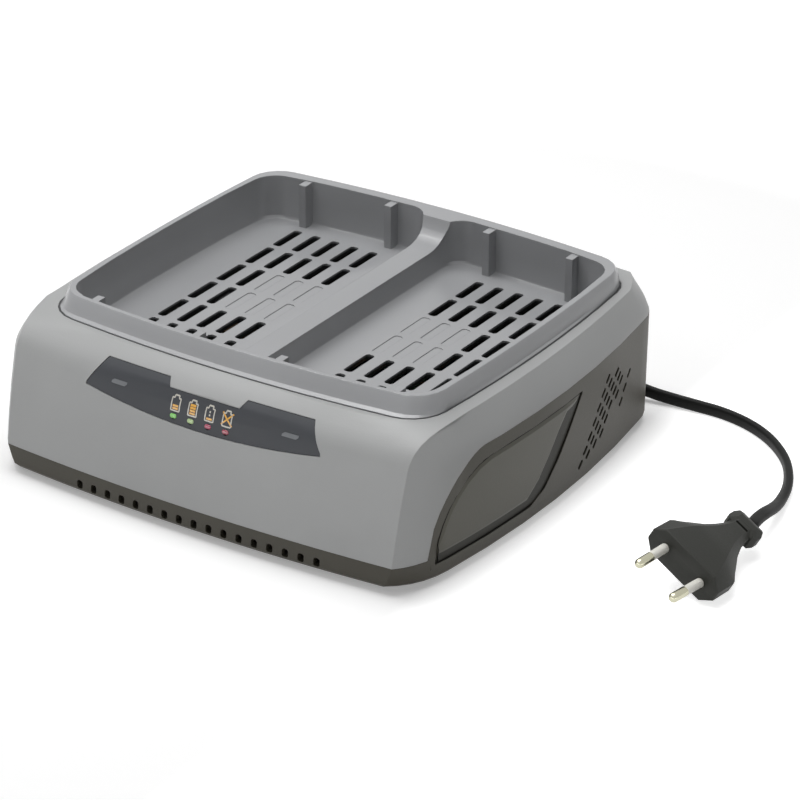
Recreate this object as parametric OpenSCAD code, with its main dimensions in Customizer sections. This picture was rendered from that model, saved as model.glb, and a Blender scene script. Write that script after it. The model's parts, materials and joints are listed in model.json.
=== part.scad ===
// Dual-bay battery charger for garden power tools, in millimetres.
// Origin: on the table under the middle of the housing. +X right, -Y front, +Z up.

/* [Housing] */
// Width over the widest point of the bowed sides
body_w = 216; // [206:1:236]
// Depth between the front and the rear face
body_d = 197; // [191:1:215]
// Height from the table to the top edge of the battery tray
body_h = 70; // [66:1:84]
// Gap between the table and the underside of the lower housing
foot_gap = 2.7; // [2:0.1:4]
// Wall thickness of the two housing shells
wall = 2.4; // [2:0.1:2.8]
// Height of the lower housing strip along the front
front_strip_z = 12.3; // [11:0.1:14]

/* [Battery tray] */
// Distance from the side of the housing to the top edge of the tray collar
tray_side = 17; // [15:0.5:19]
// Depth of the housing that the tray collar leaves free, front and rear together
tray_ends = 37.6; // [34:0.2:40]
// How far the tray stands behind the middle of the housing
tray_back = 10; // [8:0.5:11]
// How far the collar stands above the shoulder of the upper housing
tray_rise = 7.4; // [6:0.2:9]
// Depth of a bay below the top edge of the tray
bay_depth = 20; // [16:1:22]
// Width of the divider between the two bays
divider_w = 11; // [9:0.5:13]
// How far the divider stays below the top edge of the tray
divider_drop = 9.5; // [7:0.5:12]
// Columns of floor slots in a bay
slot_cols = 5; // [4:1:5]
// Rows of floor slots in a bay, front to back
slot_rows = 6; // [4:1:6]
// Spacing of the slot columns
slot_pitch_x = 9.66; // [9:0.02:10]
// Bridge left between two rows of floor slots
slot_bridge = 2.8; // [2:0.1:6]
// Width of a floor slot
slot_w = 4; // [3:0.1:4.6]

/* [Vents and display] */
// Number of vent holes in the front strip
front_vents = 17; // [9:2:17]
// Spacing of the front vent holes
front_vent_pitch = 7.12; // [6.6:0.02:7.2]
// Half width of the display panel at its lower corners
display_half_w = 56; // [50:1:60]
// Height of the display panel in its wings
display_h = 12; // [10:0.5:13]

/* [Fan] */
// Thickness of the cooling fan
fan_t = 10; // [9:0.5:12]
// Number of fan blades
fan_blades = 7; // [5:1:9]

/* [Mains lead] */
// Height of the flat mains lead, which lies on its narrow edge
cord_h = 5.4; // [5:0.1:5.4]
// Thickness of the flat mains lead
cord_t = 3.3; // [3:0.1:3.6]
// Distance between the axes of the two plug pins
pin_pitch = 19; // [18:0.1:19]
// Diameter of a plug pin
pin_d = 4; // [4:0.1:4.8]
// Length of a plug pin
pin_l = 19; // [18:0.5:19]

/* [Hidden] */

half_w = body_w / 2;
half_d = body_d / 2;
tray_w = body_w - 2 * tray_side;
tray_d = body_d - tray_ends;
ledge_z = body_h - tray_rise;
floor_z = body_h - bay_depth;
side_split_z = ledge_z - 12.3;
screw_d = 3;
screw_fit = 0.1;
base_top_z = foot_gap + wall;
tray_floor_t = 2.5;
tray_under_z = floor_z - tray_floor_t;

// ---------- outlines ----------

function bez(a, b, c, t) = (1 - t) * (1 - t) * a + 2 * t * (1 - t) * b + t * t * c;
function superarc(u, p) = u >= 1 ? 0 : pow(1 - pow(max(u, 0), p), 1 / p);
function lift(pts, z) = [for (p = pts) [p[0], p[1], z]];

// Shoulder progress: 0 where the upper housing starts to turn in, 1 at the ledge
shoulder_h = 12.6;
function shoulder(z) = max(0, min(1, (z - (ledge_z - shoulder_h)) / shoulder_h));
// The front face leans back in a shallow curve, then rolls over the shoulder
lean_h = ledge_z - shoulder_h - front_strip_z;
function lean(z) = max(0, min(1, (z - front_strip_z) / lean_h));
function front_set(z) = 6.1 * lean(z) + 2.8 * pow(lean(z), 2)
                      + 6.2 * pow(shoulder(z), 1.2) + 7.4 * pow(shoulder(z), 2.5);
function front_mid(z) = half_d - front_set(z);
// Near the ledge the front corner swings back, so the front curve gets squarer
function swing(z) = pow(shoulder(z), 9.8);
function front_bow(z) = 4.2 + 12.8 * swing(z);
function front_power(z) = 2 + 4 * swing(z);
// Below the front strip's top edge the front corners tuck in
corner_tuck = 4.5;
function tuck(z) = corner_tuck * max(0, 1 - z / front_strip_z);
function crease_x(z) = half_w - 15.4 + lean(z) - tuck(z)
                       + 2.2 * pow(shoulder(z), 2) + 2.4 * pow(shoulder(z), 8);
function front_at(x, z) = front_mid(z) - front_bow(z) * pow(abs(x) / crease_x(z), front_power(z));
// The sides stand upright, then lean in above the side split line
side_lean_h = ledge_z - side_split_z;
function side_lean(z) = max(0, min(1, (z - side_split_z) / side_lean_h));
function side_mid(z) = half_w - 0.8 * (1 - min(1, z / side_split_z)) - 8 * pow(side_lean(z), 1.25);
function side_bow(z) = 6.7 - 1.7 * side_lean(z);
side_span = half_d - 18.5;
function side_at(y, z) = side_mid(z) - side_bow(z) * pow((y + 4) / side_span, 2);
function rear_mid(z) = half_d - 2.3 * pow(side_lean(z), 1.5);
rear_bow = 4.4;
// The rear corners get rounder towards the ledge
rear_corner_in = 3;
function rear_at(x, z) = rear_mid(z) - rear_bow * pow(x / (half_w - 18), 2);

// Points along half of the front
front_n = 8;
// Right half of the housing outline at height z, set in by t, front middle to rear middle
function half_outline(z, t) =
    let (xc = crease_x(z) - t,
         yc = -(front_at(crease_x(z), z) - t),
         k = shoulder(z),
         ys = yc + 24 - 6 * k,
         xs = side_at(ys, z) - t,
         yr = side_span - 3 - t,
         xr = side_at(yr, z) - t,
         xb = half_w - 22 - t,
         yb = rear_at(xb, z) - t,
         pull = 1.2 + rear_corner_in * pow(side_lean(z), 2))
    concat(
        [for (i = [0:front_n]) let (x = xc * i / front_n)
            [x, -(front_at(x * crease_x(z) / xc, z) - t)]],
        [for (i = [1:4]) bez([xc, yc], [xs - 2.3 + 1.6 * k, ys - 16.4 + 7.4 * k], [xs, ys], i / 5)],
        [for (i = [0:6]) let (y = ys + (yr - ys) * i / 6) [side_at(y, z) - t, y]],
        [for (i = [1:4]) bez([xr, yr], [xr - pull, yb - pull], [xb, yb], i / 5)],
        [for (i = [0:4]) let (x = xb * (1 - i / 4)) [x, rear_at(x, z) - t]]);

function outline(z, t) =
    let (h = half_outline(z, t), n = len(h))
    concat(h, [for (i = [n - 2:-1:1]) [-h[i][0], h[i][1]]]);

// Closed skin through a list of rings of 3-D points, lowest ring first
module loft(rings) {
    n = len(rings[0]);
    m = len(rings);
    polyhedron(
        points = [for (r = rings) for (p = r) p],
        faces = concat(
            [[for (i = [0:n - 1]) i]],
            [[for (i = [n - 1:-1:0]) (m - 1) * n + i]],
            [for (k = [0:m - 2]) for (i = [0:n - 1])
                let (j = (i + 1) % n, a = k * n, b = (k + 1) * n)
                each [[a + i, b + i, b + j], [a + i, b + j, a + j]]]),
        convexity = 6);
}

shell_levels = [front_strip_z, front_strip_z + 0.3 * lean_h, front_strip_z + 0.65 * lean_h,
                side_split_z, ledge_z - 10.8, ledge_z - 9.2, ledge_z - 7.6, ledge_z - 6.2,
                ledge_z - 3.8, ledge_z - 2, ledge_z - 0.9, ledge_z];

module outer_skin() {
    loft(concat(
        [lift(outline(foot_gap, 1.2), foot_gap), lift(outline(foot_gap + 1.5, 0), foot_gap + 1.5)],
        [for (z = shell_levels) lift(outline(z, 0), z)]));
}

module inner_skin() {
    levels = [base_top_z, front_strip_z + 0.5 * lean_h, side_split_z, ledge_z - 6.2,
              ledge_z - wall];
    loft([for (z = levels) lift(outline(z, wall), z)]);
}

// Everything above the split line: along the front strip, up in a curve, back along the side
split_front_y = -(half_d - 17.2);
split_run_y = 31.3;
module above_split() {
    top = body_h + 10;
    pts = concat(
        [[-half_d - 5, top], [-half_d - 5, front_strip_z], [split_front_y, front_strip_z]],
        [for (i = [1:10])
            let (u = 1 - i / 10)
            [split_front_y + split_run_y * (1 - u),
             front_strip_z + (side_split_z - front_strip_z) * superarc(u, 1.65)]],
        [[half_d + 5, side_split_z], [half_d + 5, top]]);
    rotate([90, 0, 90])
        linear_extrude(body_w + 20, center = true)
            polygon(pts);
}

// Rounded rectangle with bowed sides, used for the tray: half sizes, bows, corner radius
function arc_pts(cx, cy, r, a0, a1, n) =
    [for (i = [0:n]) let (a = a0 + (a1 - a0) * i / n) [cx + r * cos(a), cy + r * sin(a)]];
function bowed_rect(hx, hy, bx, by, r, cx = 0, cy = 0) =
    let (ly = hy - by - r, lx = hx - bx - r,
         ax = atan(2 * bx / hy), ay = atan(2 * by / hx),
         q = concat(
            [for (i = [0:4]) let (y = ly * i / 4) [hx - bx * pow(y / ly, 2), y]],
            arc_pts(hx - bx - r, ly, r, ax, 90 - ay, 5),
            [for (i = [3:-1:0]) let (x = lx * i / 4) [x, hy - by * pow(x / lx, 2)]]),
         n = len(q))
    concat(
        [for (i = [0:n - 1]) [cx + q[i][0], cy + q[i][1]]],
        [for (i = [n - 2:-1:0]) [cx - q[i][0], cy + q[i][1]]],
        [for (i = [1:n - 1]) [cx - q[i][0], cy - q[i][1]]],
        [for (i = [n - 2:-1:1]) [cx + q[i][0], cy - q[i][1]]]);

// ---------- housing ----------

opening_w = tray_w / 2 + 3.7;
opening_d = tray_d / 2 + 3.9;
opening_y = tray_back - 1.7;
groove = 0.9;
seal_sunk = 0.2;
function opening_pts(g) = bowed_rect(opening_w + g, opening_d + g, 2.9, 4.2, 17 + g, 0, opening_y);

// Housing screws: two behind the front face, two at the sides
front_boss_x = 70;
side_boss_x = half_w - 8.6;
side_boss_y = -8;
screw_spots = [[-front_boss_x, -(half_d - 16)], [front_boss_x, -(half_d - 16)],
               [-side_boss_x, side_boss_y], [side_boss_x, side_boss_y]];
boss_top_z = ledge_z - 11.5;
gusset_top_z = ledge_z - 5.4;
boss_d = 7;
boss_split_z = 16;
screw_head_z = 8;
screw_reach = 12;

front_vent_z = 6.2;
module front_vent_cuts() {
    for (i = [0:front_vents - 1]) {
        x = (i - (front_vents - 1) / 2) * front_vent_pitch + 2.4;
        translate([x, -half_d, front_vent_z])
            rotate([90, 0, 0])
                linear_extrude(24, center = true)
                    polygon([[-1.4, -1.2], [-0.7, -1.9], [0.9, -1.9], [1.5, -1.1],
                             [1.6, 1.1], [0.9, 1.8], [-0.6, 1.8], [-1.2, 1.1]]);
    }
}

// Side vents: slanted slots in rows that thin out towards the rear
vent_start = [half_d - 77.6, foot_gap + 8];
vent_up = [3.7, 4.8];
vent_along = [2.3, -2.75];
vent_l = 4.3;
vent_w = 1.8;
vent_slant = 42;
vent_cells = concat(
    [for (i = [0:6]) for (j = [0:min(i, i < 6 ? 3 : 4)]) [i, j]],
    [for (j = [2:4]) [7, j]],
    [for (i = [6:8]) [i, 6]]);
module side_vent_cuts() {
    l = vent_l / 2;
    w = vent_w / 2;
    c = 0.45;
    for (m = [0, 1])
        mirror([m, 0, 0])
            translate([half_w - 9, 0, 0])
                rotate([90, 0, 90])
                    linear_extrude(12)
                        for (v = vent_cells)
                            translate(vent_start + v[0] * vent_up + v[1] * vent_along)
                                rotate(vent_slant)
                                    polygon([[-l, -w + c], [-l + c, -w], [l - c, -w], [l, -w + c],
                                             [l, w - c], [l - c, w], [-l + c, w], [-l, w - c]]);
}

// Leaf outline of the side panel: lower and upper edge as functions of y
leaf_y0 = -(half_d - 21);
leaf_y1 = half_d - 78.5;
leaf_z0 = 9.2;
leaf_z1 = side_split_z - 6;
leaf_run = 33;
leaf_slant = 34;
function leaf_top(y) = leaf_z0 + 1 + (leaf_z1 - leaf_z0 - 1)
    * superarc((leaf_y0 + leaf_run - y) / leaf_run, 1.9);
function leaf_low(y) = leaf_z0 + (leaf_z1 - leaf_z0 - 1)
    * pow(max(0, (y - leaf_y1 + leaf_slant) / leaf_slant), 1.35);
leaf_n = 14;
function leaf_y(i) = leaf_y0 + (leaf_y1 - leaf_y0) * (1 - cos(180 * i / leaf_n)) / 2;
function leaf_pts(grow) = concat(
    [for (i = [0:leaf_n]) [leaf_y(i) + grow * (2 * i / leaf_n - 1), leaf_low(leaf_y(i)) - grow]],
    [for (i = [leaf_n:-1:0]) [leaf_y(i) + grow * (2 * i / leaf_n - 1), leaf_top(leaf_y(i)) + grow]]);
recess_depth = 2.4;
recess_back = 1.6;
side_mid_z = side_split_z * 0.55;

// Slab that follows the side of the housing, from depth t1 out to depth t0
module side_slab(t0, t1) {
    ys = [for (i = [0:14]) leaf_y0 - 6 + (leaf_y1 - leaf_y0 + 12) * i / 14];
    translate([0, 0, leaf_z0 - 4])
        linear_extrude(leaf_z1 - leaf_z0 + 8)
            polygon(concat([for (y = ys) [side_at(y, side_mid_z) - t1, y]],
                           [for (i = [14:-1:0]) [side_at(ys[i], side_mid_z) - t0, ys[i]]]));
}

// The leaf outline, grown by a margin, drawn out across the right side
module leaf_prism(grow) {
    rotate([90, 0, 90])
        linear_extrude(body_w)
            polygon(leaf_pts(grow));
}

// Rear outlet for the mains lead: a low nose whose mouth points to the right
outlet_x0 = 36;
outlet_x1 = 50;
outlet_z = 7;
outlet_h = 11.6;
outlet_out = 2.4;
relief_d = 7;
relief_l = 26;
relief_root = 8;
relief_turn = 9.4;
relief_start = [outlet_x1 - relief_root, half_d - 3.1, outlet_z];
relief_dir = [cos(relief_turn), sin(relief_turn), 0];
relief_end = relief_start + (relief_root + relief_l) * relief_dir;
module outlet_nose() {
    translate([0, 0, foot_gap])
        linear_extrude(outlet_h)
            polygon([[outlet_x0 - 3, half_d - 9], [outlet_x0, half_d + 1.6],
                     [outlet_x0 + 1, half_d + outlet_out], [outlet_x1, half_d + outlet_out],
                     [outlet_x1, half_d - 2.4], [outlet_x1 + 20, half_d - 3.4],
                     [outlet_x1 + 22, half_d - 9]]);
}

standoff_z = 10;
board_t = 1.6;
board_x0 = -(half_w - 20);
board_x1 = half_w - 34;
board_y0 = -(half_d - 36.5);
board_y1 = half_d - 32.5;
board_spots = [[board_x0 + 6, board_y0 + 6], [board_x1 - 6, board_y0 + 6],
               [board_x0 + 6, board_y1 - 6], [board_x1 - 6, board_y1 - 6]];

foot_x = half_w - 30;
foot_spots = [[-foot_x, -(half_d - 24.5)], [foot_x, -(half_d - 24.5)],
              [-foot_x, half_d - 22.5], [foot_x, half_d - 22.5]];
foot_d = 14;
foot_pocket = 1;

// The fan fills the height between its cradle and the tray
cradle_t = 1;
fan_top_gap = 1.4;
fan_size = tray_under_z - fan_top_gap - base_top_z - cradle_t;
fan_y = half_d - 56.5;
fan_z = base_top_z + cradle_t + fan_size / 2;
fan_x1 = side_at(fan_y + fan_size / 2, fan_z) - wall - 2;
fan_x0 = fan_x1 - fan_t;

module lower_housing() {
    color("#5B594F")
    difference() {
        union() {
            difference() {
                outer_skin();
                inner_skin();
                above_split();
            }
            outlet_nose();
            // Backing behind the side panels
            for (m = [0, 1])
                mirror([m, 0, 0])
                    intersection() {
                        leaf_prism(2);
                        side_slab(1, recess_depth + recess_back);
                    }
            for (p = screw_spots)
                translate([p[0], p[1], foot_gap + 1])
                    cylinder(d = boss_d + 2, h = boss_split_z - foot_gap - 1, $fn = 18);
            for (p = board_spots)
                translate([p[0], p[1], foot_gap + 1])
                    cylinder(d = 7, h = standoff_z - foot_gap - 1, $fn = 18);
            // Cradle under and beside the fan
            translate([fan_x0 - 2, fan_y - fan_size / 2 - 3, base_top_z - 1])
                cube([fan_t + 3, fan_size + 6, cradle_t + 1]);
            for (s = [-1, 1])
                translate([fan_x0 + 1, fan_y + s * (fan_size / 2 + 1.6) - 1.5, foot_gap + 1])
                    cube([fan_t - 3, 3, 18]);
        }
        front_vent_cuts();
        side_vent_cuts();
        for (m = [0, 1])
            mirror([m, 0, 0])
                intersection() {
                    leaf_prism(0);
                    side_slab(-5, recess_depth);
                }
        for (p = screw_spots) {
            translate([p[0], p[1], foot_gap - 1])
                cylinder(d = 6.4, h = screw_head_z - foot_gap + 1, $fn = 18);
            translate([p[0], p[1], foot_gap])
                cylinder(d = screw_d + screw_fit, h = boss_split_z, $fn = 18);
        }
        for (p = board_spots)
            translate([p[0], p[1], base_top_z + 0.4])
                cylinder(d = screw_d + screw_fit, h = standoff_z, $fn = 18);
        for (p = foot_spots)
            translate([p[0], p[1], foot_gap - 1])
                cylinder(d = foot_d, h = foot_pocket + 1, $fn = 14);
        // Seat of the strain relief: wide at the mouth, with a groove for its collar
        translate(relief_start)
            rotate([0, 90, relief_turn])
                cylinder(d = relief_d + 0.4, h = relief_root + relief_l, $fn = 14);
        translate(relief_start)
            rotate([0, 90, relief_turn])
                cylinder(d = relief_d + 2.4, h = 2.2, $fn = 14);
        // Way into the housing
        translate([relief_start[0] - 1, half_d - 14, outlet_z])
            rotate([-90, 0, 0])
                cylinder(d = cord_h + 1.6, h = 12, $fn = 14);
    }
}

flange_t = 2.8;
flange_w = 1.8;

module upper_housing() {
    color("#98999A")
    difference() {
        union() {
            difference() {
                intersection() {
                    outer_skin();
                    above_split();
                }
                inner_skin();
                translate([0, 0, ledge_z - 10])
                    linear_extrude(30)
                        polygon(opening_pts(0));
            }
            for (p = screw_spots)
                translate([p[0], p[1], boss_split_z])
                    cylinder(d = boss_d, h = boss_top_z - boss_split_z, $fn = 18);
            // Gussets tie the side bosses to the leaning wall
            for (m = [0, 1])
                mirror([m, 0, 0])
                    translate([side_boss_x - boss_d / 2, side_boss_y - 1.5, boss_top_z - 8])
                        cube([boss_d + 1, 3, gusset_top_z - boss_top_z + 8]);
            // Pegs that carry the display's circuit board
            for (s = [-1, 1])
                translate([s * peg_x, -guide_y0 + wall / 2, led_z])
                    rotate([-90, 0, 0])
                        cylinder(d = peg_d, h = guide_y0 - wall / 2 + led_board_y, $fn = 18);
        }
        intersection() {
            display_prism(0);
            front_patch(-2, display_t);
        }
        for (p = screw_spots)
            translate([p[0], p[1], boss_split_z - 1])
                cylinder(d = screw_d + screw_fit, h = screw_reach + 2, $fn = 18);
        for (i = [0:3])
            translate([led_x(i), -half_d + 3, led_z])
                rotate([-90, 0, 0])
                    cylinder(d = guide_d + 0.1, h = 16, $fn = 14);
    }
}

// ---------- display ----------

display_t = 1.3;
display_low_z = ledge_z - 19.6;
display_bow = 4.2;
notch_half_w = 16.5;
notch_drop = 2.8;
display_top_z = display_low_z + display_h + 3.4;
function display_low(x) = display_low_z + display_bow * pow(x / display_half_w, 2);

// Slab along the front face, from depth t0 (outer side) to depth t1 (inner side)
patch_n = 6;
patch_levels = [front_strip_z + 0.65 * lean_h, side_split_z,
                ledge_z - 10.8, ledge_z - 9.2, ledge_z - 7.6, ledge_z - 6.2, ledge_z - 3.8,
                ledge_z - 2];
module front_patch(t0, t1) {
    function px(i, z) = crease_x(z) * i / front_n;
    loft([for (z = patch_levels)
        concat(
            [for (i = [-patch_n:patch_n]) [px(i, z), -(front_at(px(i, z), z) - t0), z]],
            [for (i = [patch_n:-1:-patch_n]) [px(i, z), -(front_at(px(i, z), z) - t1), z]])]);
}

module display_outline(gap) {
    w = display_half_w - gap;
    low = [for (i = [0:12]) let (x = -w + 2 * w * i / 12) [x, display_low(x) + gap]];
    polygon(concat(low,
        [[w - 0.2, display_low(w) + 1.4],
         [w - 6.8, display_top_z - gap],
         [notch_half_w + 2, display_top_z - gap],
         [notch_half_w, display_top_z - notch_drop - gap],
         [-notch_half_w, display_top_z - notch_drop - gap],
         [-notch_half_w - 2, display_top_z - gap],
         [-w + 6.8, display_top_z - gap],
         [-w + 0.2, display_low(w) + 1.4]]));
}

module display_prism(gap) {
    translate([0, -half_d - 5, 0])
        mirror([0, 1, 0])
            rotate([90, 0, 0])
                linear_extrude(40)
                    display_outline(gap);
}

window_x = 40.8;
window_shift = 0.8;
window_z = display_low_z + 8.8;
window_w = 7.4;
window_h = 1.6;
module window_prisms(gap) {
    for (s = [-1, 1])
        translate([s * window_x + window_shift, -half_d - 5, window_z])
            mirror([0, 1, 0])
                rotate([90, 0, 0])
                    linear_extrude(40)
                        polygon([[-window_w / 2 + gap, -window_h / 2 + gap],
                                 [window_w / 2 - 1, -window_h / 2 + gap],
                                 [window_w / 2 - gap, 0],
                                 [window_w / 2 - gap, window_h / 2 - gap],
                                 [-window_w / 2 + 1, window_h / 2 - gap],
                                 [-window_w / 2 + gap, 0]]);
}

led_pitch = 8.3;
led_z = display_low_z + 3;
led_d = 2.4;
guide_d = 2.8;
guide_gap = 0.55;
function led_x(i) = (i - 1.5) * led_pitch + 0.3;
guide_y0 = front_at(0, led_z) - display_t;
board_gap = 6;
peg_x = 23;
peg_d = 5;
led_board_w = 56;
led_board_y = -(guide_y0 - wall - board_gap);

module display_panel() {
    color("#4A4C50")
    difference() {
        intersection() {
            display_prism(0.15);
            front_patch(0.25, display_t);
        }
        window_prisms(0);
        for (i = [0:3])
            translate([led_x(i), -half_d, led_z])
                rotate([-90, 0, 0])
                    cylinder(d = led_d, h = 30, $fn = 14);
    }
}

module indicator_windows() {
    color("#8C8E90")
    intersection() {
        window_prisms(0);
        front_patch(0.15, display_t);
    }
}

// Clear guides carry the light of the board's diodes to the display
module light_guides() {
    color("#D8DAD4")
    for (i = [0:3])
        translate([led_x(i), guide_gap - guide_y0, led_z])
            rotate([-90, 0, 0])
                cylinder(d = guide_d, h = wall + board_gap - 1.2 - guide_gap, $fn = 14);
}

module status_leds() {
    for (i = [0:3])
        color(i < 2 ? "#58C060" : "#D04038")
            translate([led_x(i), led_board_y - 1.2, led_z])
                translate([-1, 0, -0.8])
                    cube([2, 1.2, 1.6]);
}

module led_board() {
    color("#2E6B45")
    translate([-led_board_w / 2, led_board_y, led_z - 7])
        cube([led_board_w, board_t, 12]);
}

// ---------- battery tray ----------

tray_wall = 3;
tray_rear_wall = 5.5;
// Thickness of the ring that closes a flat step in a loft
step_t = 0.01;
flange_top_z = ledge_z - wall;

module tray_collar() {
    a_w = tray_w / 2;
    a_d = tray_d / 2;
    loft([
        lift(opening_pts(flange_w), flange_top_z - flange_t),
        lift(opening_pts(flange_w), flange_top_z - step_t),
        lift(opening_pts(-groove), flange_top_z),
        lift(opening_pts(-groove), ledge_z + 0.1),
        lift(bowed_rect(a_w + 1.8, a_d + 1.8, 2.1, 4.2, 15, 0, tray_back - 0.9), ledge_z + 0.8),
        lift(bowed_rect(a_w + 1.1, a_d + 1.1, 1.8, 4.2, 14.6, 0, tray_back - 0.2), ledge_z + 3),
        lift(bowed_rect(a_w, a_d, 1.7, 4.2, 14.3, 0, tray_back), body_h - 0.7),
        lift(bowed_rect(a_w - 0.6, a_d - 0.6, 1.7, 4.2, 13.7, 0, tray_back), body_h)]);
}

// Pocket of the right bay; the left bay is its mirror image
pocket_x0 = divider_w / 2;
pocket_x1 = tray_w / 2 - tray_wall;
pocket_y0 = tray_back - tray_d / 2 + 2.6;
pocket_y1 = tray_back + tray_d / 2 - tray_rear_wall;
bay_mid_x = (pocket_x0 + pocket_x1) / 2 - 0.95;
end_bow = 4.2;
side_wall_bow = 1.7;
function end_curve(x) = end_bow * pow(x / (tray_w / 2 - 13), 2);
function front_wall_y(x) = pocket_y0 + end_curve(x);
function rear_wall_y(x) = pocket_y1 - end_curve(x);
function side_wall_x(y) = pocket_x1 - side_wall_bow * pow((y - tray_back) / (tray_d / 2 - 14.7), 2);
function pocket_pts(t) =
    let (x0 = pocket_x0 + t, y0 = pocket_y0 + t, y1 = pocket_y1 - t, x1 = pocket_x1 - t)
    concat(
        [[x0, y0 + 3], [x0 + 1, y0 + 0.8], [x0 + 3, y0]],
        [for (i = [1:4]) let (x = x0 + 3 + (x1 - 15 - x0) * i / 4)
            [x, front_wall_y(x) + t]],
        arc_pts(x1 - 13.5, y0 + 15.9, 11.5, -76, -4, 5),
        [for (i = [1:5]) let (y = tray_back + (i - 3) * tray_d / 8) [side_wall_x(y) - t, y]],
        arc_pts(x1 - 13.5, y1 - 15.9, 11.5, 4, 76, 5),
        [for (i = [1:4]) let (x = x1 - 12 - (x1 - 26 - x0) * i / 4)
            [x, rear_wall_y(x) - t]],
        arc_pts(x0 + 10, y1 - 10, 10, 90, 180, 6));

// The walls run into the floor in a small radius
floor_r = 1.6;
module bay_pocket() {
    loft([
        lift(pocket_pts(floor_r), floor_z),
        lift(pocket_pts(0.3 * floor_r), floor_z + 0.3 * floor_r),
        lift(pocket_pts(0), floor_z + floor_r),
        lift(pocket_pts(0), body_h + 1)]);
}

module slot_cut(x, y, deep) {
    w = slot_w / 2;
    l = slot_l / 2;
    c = 0.9;
    translate([x, y, floor_z - deep])
        linear_extrude(deep + 1)
            polygon([[-w + c, -l], [w - c, -l], [w, -l + c], [w, l - c],
                     [w - c, l], [-w + c, l], [-w, l - c], [-w, -l + c]]);
}

block_y0 = pocket_y0 + 7;
block_y1 = pocket_y0 + 18;
slot_front_gap = 1.6;
slot_rear_gap = 12.1;
slot_run = pocket_y1 - slot_rear_gap - block_y1 - slot_front_gap;
slot_pitch_y = (slot_run + slot_bridge) / slot_rows;
slot_l = slot_pitch_y - slot_bridge;
slot_row0_y = block_y1 + slot_front_gap + slot_l / 2;
// In the middle two rows the three inner columns are closed and only marked by a shallow sink
function slot_open(col, row) = row < 2 || row > 3 || col > 2;
module bay_slots() {
    for (row = [0:slot_rows - 1])
        for (col = [0:slot_cols - 1])
            slot_cut(bay_mid_x + (col - (slot_cols - 1) / 2) * slot_pitch_x,
                     slot_row0_y + row * slot_pitch_y,
                     slot_open(col, row) ? tray_floor_t + 1 : 0.3);
}

sweep_l = 14;
rib_w = 3.4;
rib_d = 5.2;
rib_h = bay_depth - 0.5;
rear_rib_x = [bay_mid_x - 21.4, bay_mid_x + 20.4];
front_rib_dx = [-24.6, 27.5];
post_dx = 16.2;
post_w = 1.4;
post_l = 3;
post_h = 7.8;
block_w = 44;
block_top_z = floor_z + 6.8;

module battery_tray() {
    color("#A4A5A7")
    difference() {
        union() {
            difference() {
                union() {
                    tray_collar();
                    // Tub below the shoulder
                    translate([0, 0, tray_under_z])
                        linear_extrude(flange_top_z - tray_under_z)
                            polygon(bowed_rect(tray_w / 2 - 0.4, tray_d / 2 - 0.4, 1.7, 4.2, 13.9,
                                               0, tray_back));
                }
                for (m = [0, 1])
                    mirror([m, 0, 0])
                        bay_pocket();
                // The divider stays low and sweeps up to the rear wall
                translate([-divider_w / 2 - 10.5, 0, 0])
                    rotate([90, 0, 90])
                        linear_extrude(divider_w + 21)
                            polygon(concat(
                                [[pocket_y0, body_h + 1], [pocket_y0, body_h - divider_drop]],
                                [for (i = [0:6]) let (a = 14 * i)
                                    [pocket_y1 - 19.2 + sweep_l * sin(a) / sin(84),
                                     body_h - divider_drop
                                     + divider_drop * (1 - cos(a)) / (1 - cos(84))]],
                                [[pocket_y1 - 19.1 + sweep_l, body_h + 1]]));
            }
            for (m = [0, 1])
                mirror([m, 0, 0])
                    for (x = rear_rib_x)
                        translate([x - rib_w / 2, rear_wall_y(x) - rib_d, floor_z - 1])
                            cube([rib_w, rib_d + 1, rib_h + 1]);
            for (s = [-1, 1])
                for (dx = front_rib_dx)
                    translate([s * bay_mid_x + dx - rib_w / 2,
                               front_wall_y(s * bay_mid_x + dx) - 1, floor_z - 1])
                        cube([rib_w, rib_d + 1, rib_h + 1]);
        }
        for (m = [0, 1])
            mirror([m, 0, 0])
                bay_slots();
        for (s = [-1, 1])
            translate([s * bay_mid_x, 0, 0]) {
                translate([-block_w / 2, block_y0, tray_under_z - 1])
                    cube([block_w, block_y1 - block_y0, tray_floor_t + 2]);
                translate([post_dx - post_w / 2, block_y1 - 0.01, tray_under_z - 1])
                    cube([post_w, post_l + 0.01, tray_floor_t + 2]);
            }
    }
}

// Soft cord seal at the bottom of the shut line round the collar
seal_gap = 0.08;
module tray_gasket() {
    color("#1C1C1D")
    translate([0, 0, flange_top_z])
        linear_extrude(wall - seal_sunk)
            difference() {
                polygon(opening_pts(-seal_gap));
                polygon(opening_pts(seal_gap - groove));
            }
}

// ---------- battery contacts ----------

blade_x = [-15, -5, 5, 15];
blade_t = 0.8;
blade_l = 7;
module terminal_block(s) {
    color("#232426")
    translate([s * bay_mid_x, 0, 0])
    difference() {
        union() {
            translate([-block_w / 2, block_y0, tray_under_z])
                cube([block_w, block_y1 - block_y0, block_top_z - tray_under_z]);
            translate([-block_w / 2 - 3, block_y0 - 2, tray_under_z - 1.6])
                cube([block_w + 6, block_y1 - block_y0 + 10, 1.6]);
            translate([post_dx - post_w / 2, block_y1 - 0.01, tray_under_z])
                cube([post_w, post_l + 0.01, tray_floor_t + post_h]);
        }
        for (x = blade_x)
            translate([x - 1.6, block_y0 + 1.5, floor_z + 1])
                cube([3.2, block_y1 - block_y0 - 0.4, block_top_z]);
        for (x = blade_x)
            translate([x - blade_t / 2, block_y0 + 2.5, floor_z - 10])
                cube([blade_t, blade_l, 20]);
    }
}
module terminal_block_left() { terminal_block(-1); }
module terminal_block_right() { terminal_block(1); }

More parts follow.
